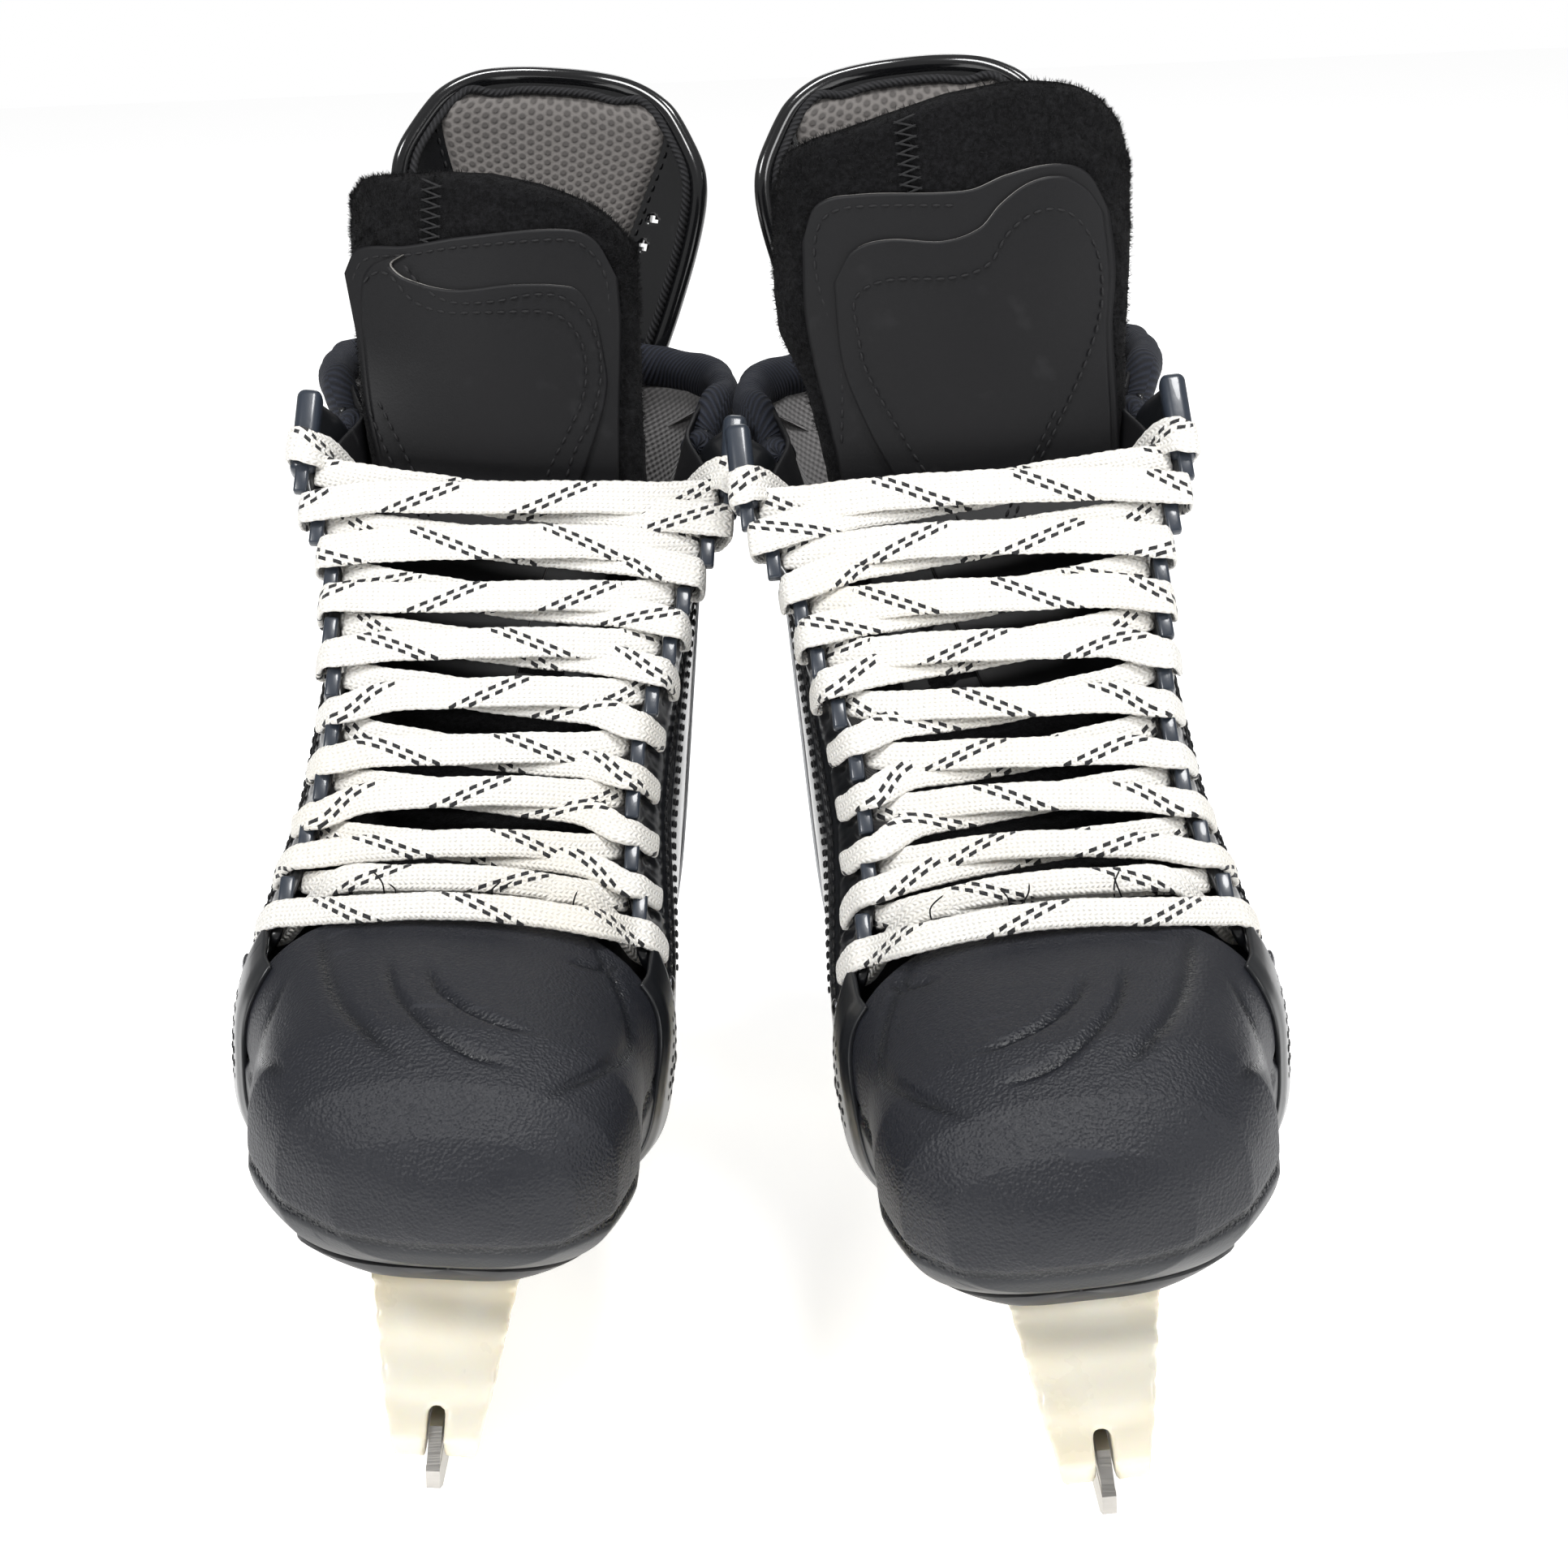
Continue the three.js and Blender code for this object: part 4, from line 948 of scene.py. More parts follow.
# Moulded marks of the toe cap, from above: line, depth and half width.
CAP_MARKS = [
    (curve_through([(-8, -92), (-5, -102), (3, -110.5), (12, -115), (19, -116)], 2.0), 1.3, 0.95),
    (curve_through([(-17, -88), (-14, -103), (-6, -116), (4, -123.5), (15, -126)], 2.0), 1.3, 1.0),
    (curve_through([(-34, -70), (-31, -86), (-27, -101), (-20, -115), (-9, -127)], 2.0), 1.1, 1.7),
    (curve_through([(33, -74), (30, -80.5), (22, -84)], 2.0), 0.9, 1.1),
    (curve_through([(25, -70), (34, -84), (37, -100), (32, -118), (19, -133)], 2.0), 1.3, 1.2),
    (curve_through([(-38, -84), (-42, -97), (-40, -112), (-33, -124)], 2.0), 1.0, 1.4),
]


CAP_END = 5.72  # the last ring of the cap, before it is cut at its seam
CAP_NOSE, MARKS_ABOVE, STEP_WIDTH = 1.2, 78, 1.2
QUARTER_START, LINING_START, QUARTER_WALL, CUT_AT = 4.6, 8.2, 4.3, 60


def above_ledge(y, z):
    """How far a point of the cap is above the step of its lower band."""
    return z - (70 + 0.22 * (y - TOE))


def cap_place(a, b):
    """The cap's surface: the boot's rings with the moulded marks and the band's step pressed in."""
    ring = ring_at(CAP_END * b)
    middle = Vector((ring[5], (ring[0] + ring[2]) / 2, (ring[1] + ring[3]) / 2))
    if b == 0:
        return middle - Vector((0, CAP_NOSE, 0))
    p = Vector(ring_point(ring, a * math.tau))
    out = (p - middle).normalized()
    depth = 0.0
    if p.z > MARKS_ABOVE:
        for line, deep, half in CAP_MARKS:
            d, share = near_line(p, line)
            if d < half * 2.5:
                fade = smooth(min(share, 1 - share) * 4 + 0.1) * smooth(out.z * 1.7)
                depth += deep * bell(d, half) * fade
    ledge = above_ledge(p.y, p.z)
    depth += 0.9 * bell(ledge, 1.1) - 0.5 * smooth(-ledge / 2.0)
    return p - out * depth


def cap_shine(x, y, z):
    """How polished the cap is at a point: its marks and its step are smooth."""
    shine = bell(above_ledge(y, z), STEP_WIDTH)
    if z > MARKS_ABOVE:
        for line, _, half in CAP_MARKS:
            d, share = near_line((x, y), line)
            shine = max(shine, 0.8 * bell(d / half, 0.7) * smooth(min(share, 1 - share) * 5))
    return shine


for skate in SKATES:
    seam_way = Vector((0, 1, -SEAM_SLOPE)).normalized()
    boot = shell_sheet(150, 150, QUARTER_START, COLLAR_END)
    cut(boot, (0, seam_y(CUT_AT) + 0.3, CUT_AT), seam_way, keep_front=False)
    thicken(piece(boot, skate, "quarters", quarter_black, "boot", ["boot_shell"], middle=(0, 20, 110)),
            QUARTER_WALL)
    cap = grid(340, 150, cap_place, closed=True)
    cut(cap, (0, seam_y(CUT_AT) - 0.3, CUT_AT), seam_way)
    cap_piece = piece(cap, skate, "pebbled_toe_cap", cap_black, "boot", ["toe_cap"], middle=(0, -95, 85))
    cap_piece.data.materials.append(cap_band)
    inverse = PLACE[skate].inverted()
    polish = cap_piece.data.attributes.new("polish", "FLOAT", "POINT")
    for v in cap_piece.data.vertices:
        polish.data[v.index].value = cap_shine(*(inverse @ v.co))
    for face in cap_piece.data.polygons:
        x, y, z = inverse @ face.center
        face.material_index = int(above_ledge(y, z) < -STEP_WIDTH)
    thicken(cap_piece, 3.0)

    # the stitched strip that closes the quarters over the cap's rear edge
    def overlay(a, b):
        phi = mix(0.98, math.tau - 0.98, a)
        k = 5.0
        for _ in range(12):
            x, y, z = ring_point(ring_at(k, mix(0.35, 1.3, smooth(b * 3))), phi)
            k = clamp(k + (seam_y(z) + mix(-3.2, 9, b) + 1.2 * math.sin(a * 31) * (1 - b) - y) / 22, 2.5, 9)
        return (x, y, z)

    strip = piece(grid(160, 10, overlay, size=(0.2, 0.012)), skate, "cap_seam_strip", quarter_black, "boot",
                  middle=(0, -75, 80))
    round_edges(thicken(strip, 1.3, 0.0), 0.4)

    def sole(a, b):
        y = mix(TOE + 9, station(0.955), b)
        z = sole_z(y)
        half, centre = width_at(y, z + 7)
        u = math.sin((a - 0.5) * math.pi)
        half *= 0.87 * tapered(b, 262, 26) + 0.02
        return (centre + half * u, y, z - 0.5 - 3.1 * (1 - abs(u) ** 6) * clamp(min(b, 1 - b) * 262 / 5))

    plate = piece(grid(40, 120, sole, size=(0.08, 0.27)), skate, "sole_plate", sole_black, "boot",
                  ["outsole"],
                  middle=(0, 0, 120))
    thicken(plate, 2.2)

    def bed(a, b):
        y = mix(TOE + 26, station(0.87), b)
        z = sole_z(y)
        half, centre = width_at(y, z + 12)
        u = 2 * a - 1
        half = (half * 0.8 - 6.5) * tapered(b, 226, 24) + 0.5
        return (centre + half * u, y, z + 10 + 2.2 * abs(u) ** 4 - 1.2 * (1 - u * u))

    footbed = piece(grid(30, 100, bed, size=(0.08, 0.226)), skate, "soft_footbed", sole_cloth, "boot",
                    ["footbed"], middle=(0, 0, 20))
    round_edges(thicken(footbed, 3.0), 0.8)

    # heel counter: a raised moulding round the heel, with a soft step at its edge
    def counter(a, b):
        k = mix(10.2, 13.3, b)
        reach = 0.60 + 0.22 * math.sin(b * math.pi)
        return ring_point(ring_at(k, 2.0 * smooth(min(a, 1 - a, b, 1 - b) * 9) - 0.5),
                          math.pi + (a - 0.5) * math.tau * reach * 0.62)

    cup = piece(grid(120, 46, counter, size=(0.2, 0.08)), skate, "moulded_heel_counter", quarter_black,
                "boot", ["heel_counter"], middle=(0, 90, 110))
    thicken(cup, 1.6)


# ---------- facings ----------
def stitches(paths, length=2.2, pitch=3.1, radius=0.32):
    """Short thread capsules along curves; each path is a list of points."""
    places = []
    for path in paths:
        line = [Vector(p) for p in curve_through([tuple(p) for p in path], pitch)]
        for a, b in zip(line, line[1:]):
            turned = (b - a).to_track_quat("Z", "Y").to_matrix().to_4x4()
            size = Matrix.Diagonal((radius, radius, length / 2, 1))
            places.append(Matrix.Translation(a.lerp(b, 0.5)) @ turned @ size)
    return repeated(places, lambda bm, place: bmesh.ops.create_uvsphere(
        bm, u_segments=6, v_segments=4, radius=1.0, matrix=place))


def repeated(places, make):
    """The same small shape at many places, made in short runs, which is much quicker than one long one."""
    runs = []
    for i in range(0, len(places), 80):
        run = bmesh.new()
        for place in places[i : i + 80]:
            make(run, place)
        runs.append(run)
    return join(*runs)


def block(bm, middle, edges, offset, segments):
    """A block with rounded edges; edges holds its width, depth and height as vectors."""
    size = Matrix(edges).transposed().to_4x4()
    made = bmesh.ops.create_cube(bm, size=1.0, matrix=Matrix.Translation(middle) @ size)
    geom = list(dict.fromkeys(e for v in made["verts"] for e in v.link_edges))
    bmesh.ops.bevel(bm, geom=geom, offset=offset, segments=segments, profile=0.5, affect="EDGES", material=-1)


def facing_section(a):
    """Depth and level round a facing's section: a rounded bar 17 mm deep and 3 mm thick, lipped at its free edge."""
    u, d = rounded(a, 0.42, 0.55)
    depth, level = 8.5 - 8.9 * u, -1.5 + 1.5 * d
    lip = bell(depth, 1.8)
    groove = bell(depth - 13.2, 1.0) if level > -1 else 0.0
    return depth, level + (0.55 * lip if level > -1 else 0.0) - 0.5 * groove


for skate in SKATES:
    for side, label in ((1, "inner"), (-1, "outer")):
        def facing(a, b):
            depth, level = facing_section(a)
            t = mix(-0.012, 1.045, b)
            near = min(b, 1 - b) * 155
            shrink = math.sqrt(clamp(1 - (1 - clamp(near / 4)) ** 2))
            if level > -1 and 1.5 < depth < 12.5:
                row = (clamp(t) - row_share(0)) / 0.895 * (ROWS - 1)
                apart = row - round(row)
                share = abs(apart) * 2
                wedge = abs(depth - 4 - 7 * abs(share - 0.5))
                level -= 0.9 * bell(wedge, 1.2) * smooth((share - 0.2) / 0.3)
                ring_far = math.hypot(depth - 7, apart * 14.5)
                level += 0.5 * bell(ring_far - 3.4, 0.8) - 2.6 * smooth((2.7 - ring_far) / 0.6)
            corner = smooth((t - 0.97) / 0.075)
            depth = mix(depth, 9 + (depth - 9) * 0.72, corner * corner)
            return strip_point(side, t, 8.5 + (depth - 8.5) * mix(0.4, 1, shrink), -1.5 + (level + 1.5) * shrink)

        bm = grid(64, 300, facing, closed=True, size=(0.04, 0.155))
        piece(bm, skate, f"{label}_facing_bar", quarter_black, "boot", [f"{label}_facing"])

        posts = bmesh.new()
        for row in range(ROWS - 1):
            t = (row_share(row) + row_share(row + 1)) / 2
            way = edge_direction(t).normalized()
            out = Vector((side, 0, 0))
            behind = way.cross(out) * -side
            block(posts, strip_point(side, t, -0.5, -0.4), (out * 3.4, behind * 2.6, way * 7.6), 0.7, 3)
        way = edge_direction(1.0).normalized()
        width, behind = Vector((side, 0, 0)) * 6.2, way.cross(Vector((1, 0, 0))) * 6.5
        block(posts, strip_point(side, 1.0, 1.5, -2.0) - way * 5, (width, behind, way * 23), 2.1, 5)
        piece(posts, skate, f"{label}_edge_rail", slate, "boot")

        rows = [[strip_point(side, t / 20, depth, 0.15) for t in range(21)] for depth in (14.6, 16.3)]
        rows += [[on_side(side, y, z - offset, 0.25) for y, z in BAND[1:-1]] for offset in (3.5, 6.5)]
        rows += [[on_side(side, seam_y(z) + behind_seam, z, 1.9) for z in (70, 78, 86, 94, 101)]
                 for behind_seam in (7.5, 4.6)]
        rows.append([on_side(side, y, z, 0.25)
                     for y, z in ((-58, 72), (-30, 74), (0, 78), (35, 86), (70, 90), (100, 92))])
        piece(stitches(rows, 1.9, 2.9, 0.34), skate, f"{label}_quarter_stitching", thread, "boot")

    # the pale panel on the inner rear quarter, and a raised swoop on the outer one
    for label, side, material, ys, zs, out, rows, middle in (
        ("inner", 1, pale_panel, ((6, 56), (46, 92)), ((66, 184), (78, 190)), 1.1, 70, 60),
        ("outer", -1, cap_band, ((-40, 40), (10, 100)), ((80, 186), (78, 182)), 0.9, 80, 30),
    ):
        def panel(a, b):
            y, z = (mix(mix(*front, b), mix(*back, b), a) for front, back in (ys, zs))
            return on_side(side, y, z, out)

        sheet = piece(grid(40, rows, panel, size=(0.07, 0.12)), skate, f"{label}_side_panel", material,
                      "boot", middle=(0, middle, 120))
        round_edges(thicken(sheet, 0.7), 0.25)

    # ---------- lining, ankle pads and collar ----------
    lining = shell_sheet(110, 80, LINING_START, COLLAR_END)
    for v in lining.verts:
        y, z = v.co.y, v.co.z
        half, centre = width_at(y, z)
        half = max(half, 8.0)
        u = clamp((v.co.x - centre) / half, -1, 1)
        pad = math.exp(-(((y - 84) / 30) ** 2) - (((z - 150) / 34) ** 2)) * smooth((abs(u) - 0.5) / 0.4)
        inward = 5.1 + 7.5 * pad
        v.co.x = centre + (v.co.x - centre) * (1 - inward / half)
        v.co.y -= inward * smooth((y - 96) / 30)
        v.co.z += 1.2 if z < 150 else -0.5
    liner = piece(lining, skate, "padded_lining", liner_mesh, "boot", ["inner_ankle_pad", "outer_ankle_pad"])
    for polygon in liner.data.polygons:
        polygon.flip()
    thicken(liner, 1.2, -1)

    spots = []
    for s in (0.648, 0.68, 0.707, 0.76, 0.81, 0.845):
        y = station(s)
        z = along(THROAT[-5:], y) if y > 60 else along(BAND, y)
        half, centre = width_at(y, z)
        spots.append((half - 2.4, y, z + 4.4, centre))
    rear_z = spots[-1][2]
    ring = [(c + x, y, z) for x, y, z, c in spots]
    ring += [(spots[-1][0] * 0.76, station(0.893), rear_z), (spots[-1][0] * 0.42, station(0.908), rear_z),
             (0, station(0.911), rear_z)]
    ring += [(-x, y, z) for x, y, z in reversed(ring[6:8])] + [(c - x, y, z) for x, y, z, c in reversed(spots)]
    roll = tube(ring, 4.3, 26, step=0.8)
    for v in roll.verts:
        n = noise.noise(v.co * 0.09) * 0.9
        v.co.z += n + (v.co.z - rear_z) * 0.35 * smooth((v.co.y - 45) / 20)
        v.co.x += noise.noise(v.co * 0.16 + Vector((9, 0, 0))) * 0.5
    collar = piece(roll, skate, "ribbed_collar_roll", collar_cloth, "boot", ["collar_roll"])

    wall_line = curve_through([tuple(p) for p in ring], 1.5)

    def lined_wall(a, b):
        x, y, z = wall_line[round(a * (len(wall_line) - 1))]
        low_z = 168.0
        y_low = min(y + 11 * smooth((y - 96) / 24), 129)
        half, centre = width_at(y_low, low_z)
        if y > spots[-1][1]:
            x_low = centre + (x - centre) * (min(half, 60) - 8.5) / max(spots[-1][0], 1)
        else:
            x_low = centre + math.copysign(half - 8.5, x)
        bulge = 1.5 * math.sin(b * math.pi)
        return (mix(x * 0.965, x_low, smooth(b)) - math.copysign(bulge, x) * min(1, abs(x) / 12),
                mix(y, y_low, smooth(b)), mix(z - 1, low_z, b))

    lined = piece(grid(len(wall_line) - 1, 24, lined_wall, size=(0.22, 0.04)), skate, "collar_lining", liner_mesh,
                  "boot")
    thicken(lined, 1.4, 0)

    # soft flap from the facing's top to the collar
    for side, label in ((1, "inner"), (-1, "outer")):
        def flap(a, b):
            y, z = mix(19, 58, a), mix(mix(196, 212.5, a), mix(150, 160, a), b)
            half, centre = width_at(y, min(z, 204))
            inner = 3.6 + 2.0 * math.sin(a * math.pi) + 6 * b
            splay = 9.5 * ((1 - a) * (1 - b)) ** 1.5
            crease = 0.9 * math.sin(a * 9 + b * 3) * (1 - b)
            return (centre + side * (half + splay - inner - 1.4 + crease), y, z + 1.5 * math.sin(a * 5))

        soft = piece(grid(36, 40, flap, size=(0.04, 0.05)), skate, f"{label}_throat_lining", cover_black,
                     "boot", middle=(0, 40, 180))
        round_edges(thicken(soft, 1.2, 0), 0.4)


# ---------- the tongue ----------
HINGE_Y, HINGE_Z, HINGE_REACH = EDGE[-1][0] + 1.03, FACING_TOP - 10, 14
# Outlines in the skate's own x and z: the top edge, and the two side edges read at a height.
TONGUES = {
    "right": {
        "felt_top": [(-45, 258), (-42, 262.5), (-29.4, 265.4), (-9.2, 267.1), (6.8, 264.2), (18.8, 258.9), (26.5, 251)],
        "felt_left": [(150, -27), (189, -35.5), (209, -40), (222, -42), (246, -44.5), (260, -45)],
        "felt_right": [(150, 27), (188, 32.3), (212.6, 30.1), (232.6, 28.5), (252.3, 26.5)],
        "cover_top": [(-45.6, 240), (-43, 246), (-30, 248.5), (-16.3, 251.9), (7.4, 255.4), (16.5, 253.2), (22.6, 244)],
        "cover_left": [(150, -24), (189, -32.6), (208.8, -38.5), (222, -41.1), (240, -45.6)],
        "cover_right": [(150, 21), (185, 25.2), (213.4, 24.6), (233.2, 24), (244, 22.6)],
        "layer_top": [(-30.5, 246.5), (-28.9, 244.9), (-27.2, 243.7), (-21.9, 240.9), (-11.8, 239.3), (0.1, 241.6),
                      (10, 242.1), (14.5, 240.6), (18.0, 234)],
        "layer_left": [(150, -23), (189, -31.5), (208.8, -37), (222, -39.6), (236, -41), (243, -38.5), (246.5, -30.5)],
        "layer_right": [(150, 3), (172, 8), (185.2, 12.5), (201.3, 17.8), (217.3, 21.4), (227.2, 19.8), (234, 18.0)],
        "stitch": [
            [(-30.3, 244.3), (-26, 239.9), (-18.7, 236.3), (-7.7, 237.2), (2.2, 239.6), (10.1, 239), (16.7, 233),
             (19.7, 223.2), (18.3, 211.3), (13.8, 201.2), (10.5, 185.1)],
            [(-40.6, 238.2), (-37.5, 241.5), (-33.3, 241.1), (-27.9, 235.8), (-19.6, 233.7), (-7.6, 234.7),
             (6.3, 235.5), (12.4, 231.9), (15.7, 225.1), (15.6, 215.2), (11.6, 205.2), (8, 197.1), (5.5, 184.9)],
            [(-37.5, 208.8), (-30.7, 195.7), (-23, 184.6)],
            [(-35.4, 211.1), (-26.5, 196.3), (-19.8, 183)],
            [(-43.4, 238), (-40.6, 244), (-29.6, 246.3), (-16.3, 249.5), (7.4, 252.9), (14.8, 251), (19.8, 244),
             (21, 232)],
        ],
        "back_stitch": 4,
        "centre_seam": -24.0,
    },
    "left": {
        "felt_top": [(-47.5, 262), (-46, 271), (-39.1, 279.8), (-27.5, 283.8), (-12, 284.8), (3.8, 282), (17.5, 278.8),
                     (34.5, 273.5), (38.6, 264)],
        "felt_left": [(150, -30), (185, -38), (220.4, -42.7), (243.2, -45.9), (262, -47.5)],
        "felt_right": [(150, 28), (185, 32), (218, 35.9), (234, 40.9), (264, 38.6)],
        "cover_top": [(-41, 252), (-36.8, 261.3), (-29.2, 264.8), (-17.3, 264), (-7.3, 261.5), (19.4, 263.4),
                      (29.2, 261.5), (33, 253.3)],
        "cover_left": [(150, -29), (194.5, -37.7), (225.5, -39.2), (238.7, -41.2), (252, -41)],
        "cover_right": [(150, 21), (186.9, 28.6), (202.6, 30.5), (234.2, 34.2), (253.3, 33)],
        "layer_top": [(-39.4, 252), (-36, 258), (-30, 262), (-22, 261.5), (-14.7, 257.5), (-9.4, 252.7), (-0.4, 250.6),
                      (12.9, 252.4), (21.5, 250.5), (26.6, 243.5)],
        "layer_left": [(150, -31), (172, -33), (200, -36.2), (225, -37.8), (238, -39.6), (252, -39.4)],
        "layer_right": [(150, 2), (181.5, 12.5), (193.7, 16.2), (208, 22), (223.9, 26.6), (243.5, 26.6)],
        "stitch": [
            [(22.3, 233.2), (21.9, 239.9), (13.9, 243), (-1.5, 241.9), (-10.5, 244), (-16, 250.9), (-24.3, 254.9),
             (-32, 252.5), (-37, 243), (-37, 231.4), (-33, 220.6), (-25.8, 208.2), (-18.8, 197.5), (-11.7, 186.7),
             (-6, 178.6)],
            [(22.3, 233.2), (22.1, 229.4), (21, 221.6), (13.9, 205.3), (7.4, 192.9), (2.4, 184.5), (-0.1, 179.3)],
            [(29, 205), (27, 225), (30.4, 244), (29.6, 255), (25, 260), (14, 260.3), (-4, 258.4)],
            [(-3.5, 178), (-9, 186), (-16.5, 197), (-23.4, 208)],
        ],
        "back_stitch": 2,
        "centre_seam": 6.0,
    },
}
FELT, FIBRES, QUICK_FIBRES = 8.6, 6500, 1500  # the felt's thickness and how many fibres stand off it
LEAN, TOP = 8.0, {"right": 267.0, "left": 287.0}  # how far back the tongue's top leans, and its height


def felt_front(skate, x, z):
    """How far back the tongue's front face stands at x and z."""
    curl = 0.006 if skate == "right" else 0.004
    if z >= HINGE_Z:
        front = HINGE_Y + 2.4 + LEAN * (z - HINGE_Z) / (TOP[skate] - HINGE_Z)
        reach = smooth((z - HINGE_Z) / 30)
    else:
        low, high = 0.4, 1.0
        for _ in range(18):
            t = (low + high) / 2
            if edge_point(t, 9.5)[1] < z:
                low = t
            else:
                high = t
        front = edge_point(low, 9.5)[0]
        front = mix(front, HINGE_Y + 2.4, smooth((z - 176) / 22))
        reach = 0.0
    return front + mix(0.0022, curl, reach) * x * x


def tongue_slab(skate, a, b, part, base=150.0):
    """A point over the tongue's front: a across from left to right, b up to the top edge of a part's outline."""
    outline, left, right = (TONGUES[skate][part + end] for end in ("_top", "_left", "_right"))
    x_top = mix(outline[0][0], outline[-1][0], a)
    z = mix(base, eased(outline, x_top), b)
    return mix(eased(left, z), eased(right, z), a), z


FOLD, FOLD_LOW, FOLD_HIGH, TIP = 0.42, 0.36, 0.48, 0.975  # shares of the felt's length
for skate in SKATES:
    tongue = TONGUES[skate]
    rng = random.Random(3 if skate == "right" else 4)

    # the felt: a long slab from the toe cap's rear edge to its own top
    spine = [(seam_y(111.5) + 0.7, 111.5, 23.0, 23.0, 0.30, 0.954)]
    for t in (0.07, 0.16, 0.3, 0.45, 0.6, 0.74):
        y, z, dy, dz = edge_point(t, 13 - crown(t))
        right, left = (strip_point(k, t, 13, -3).x for k in (1, -1))
        side = (right - left) / 2 - 8.4 - 1.9 * crown(t)
        middle = (right + left) / 2
        spine.append((y, z, side - middle, side + middle, dy, dz))

    def felt_point(a, b):
        u, d = rounded(a, 0.4, 0.65)
        if b < FOLD:
            s = b / FOLD * (len(spine) - 1)
            y, z, left, right, dy, dz = (eased([(i, row[n]) for i, row in enumerate(spine)], s) for n in range(6))
            x = u * (right if u > 0 else left)
            norm = math.hypot(dy, dz)
            dy, dz = dy / norm, dz / norm
            depth = FELT / 2 * d + 0.002 * x * x
            return Vector((x, y + dz * depth, z - dy * depth))
        x, z = tongue_slab(skate, (u + 1) / 2, (b - FOLD) / (1 - FOLD), "felt", 168)
        return Vector((x, felt_front(skate, x, z) + FELT / 2 + FELT / 2 * d, z))

    def felt(a, b):
        if FOLD_LOW < b < FOLD_HIGH:
            before, low, high, after = (felt_point(a, s) for s in (0.34, FOLD_LOW, FOLD_HIGH, 0.50))
            p = hermite(low, high, (low - before) * 5, (after - high) * 5, (b - FOLD_LOW) / 0.12)
        else:
            p = felt_point(a, b)
        if b > TIP:
            k = math.sqrt(clamp(1 - ((b - TIP) / 0.025) ** 2))
            front = felt_front(skate, p.x, p.z) + FELT / 2
            p.y = front + (p.y - front) * k
        fuzz = noise.noise(p * 0.23) * 0.55 + noise.noise(p * 0.7) * 0.3
        angle = a * math.tau
        p += Vector((math.copysign(0.4, math.cos(angle)) * fuzz, math.sin(angle) * fuzz, fuzz * 0.3))
        return p

    bm = grid(96, 230, felt, closed=True, size=(0.17, 0.25))
    bmesh.ops.holes_fill(bm, edges=[e for e in bm.edges if e.is_boundary], sides=0)
    # loose fibres that stand off the felt's front and edges
    fibre_places = []
    for _ in range(FIBRES):
        a, b = rng.uniform(0, 1), rng.uniform(0.66, 0.999)
        if rng.random() < 0.55:
            b = 1 - rng.random() ** 2 * 0.12
        root = felt(a, b)
        angle = a * math.tau
        way = Vector((math.cos(angle) * 0.9, math.sin(angle) * 1.1, smooth((b - 0.9) / 0.1) * 1.4))
        way += Vector((rng.gauss(0, 0.7), rng.gauss(0, 0.5), rng.gauss(0, 0.7)))
        way.normalize()
        turned = Matrix.Translation(root + way * 0.35) @ way.to_track_quat("Z", "Y").to_matrix().to_4x4()
        fibre_places.append(turned @ Matrix.Diagonal((1, 1, rng.uniform(0.9, 2.1), 1)))
    fibres = repeated(fibre_places, lambda bm, place: bmesh.ops.create_cone(
        bm, segments=3, radius1=0.12, radius2=0.03, depth=1.0, cap_ends=False, matrix=place))
    slab = piece(bm, skate, "thick_tongue_felt", felt_black, None, ["tongue_base", "tongue_felt"])
    fluff = piece(fibres, skate, "felt_fibres", felt_black, None)

    # the smooth cover in two layers, with cut edges and rows of stitches
    layers = []
    for label, part, gap, ripple, size, replaced in (
        ("back", "cover", 1.25, lambda x, z: 0.3 * math.sin(z * 0.13), (0.07, 0.1), ["tongue_cover"]),
        ("front", "layer", 2.2, lambda x, z: -0.3 * math.sin(x * 0.11 + z * 0.07), (0.06, 0.12), []),
    ):
        def cover(a, b):
            x, z = tongue_slab(skate, a, b, part)
            return (x, felt_front(skate, x, z) - gap + ripple(x, z), z)

        sheet = piece(grid(70, 120, cover, size=size), skate, f"tongue_cover_{label}_layer", cover_black, None,
                      replaced)
        sheet.data.materials.append(cut_grey)
        face_away = PLACE[skate].to_3x3() @ Vector((0, -1, 0))
        if sum(p.normal.dot(face_away) * p.area for p in sheet.data.polygons) < 0:
            for p in sheet.data.polygons:
                p.flip()
        thicken(sheet, 1.3).modifiers["wall"].material_offset_rim = 1
        layers.append(sheet)

    lines = []
    for k, path in enumerate(tongue["stitch"]):
        gap = 1.15 if k == tongue["back_stitch"] else 2.45
        lines.append([(x, felt_front(skate, x, z) - gap, z) for x, z in curve_through(path, 2.0)])
    sewn = piece(stitches(lines, 2.2, 3.0, 0.36), skate, "tongue_stitching", thread, None)

    # zigzag seam at the middle of the felt's top
    def on_felt(x, z):
        return (x, felt_front(skate, x, z) - 0.5, z)

    zig = []
    x0 = tongue["centre_seam"]
    for k in range(9):
        z = eased(tongue["felt_top"], x0) - 1.5 - k * 2.4
        corners = [on_felt(x0 - 1.9, z), on_felt(x0 + 1.9, z - 1.2), on_felt(x0 - 1.9, z - 2.4)]
        zig += [corners[:2], corners[1:]]
    seam = piece(stitches(zig, 3.9, 4.2, 0.3), skate, "felt_zigzag_seam", thread, None)

    bend(skate, "tongue", HINGE_Y, HINGE_Z - HINGE_REACH, HINGE_Z + HINGE_REACH, (slab, fluff, *layers, sewn, seam))


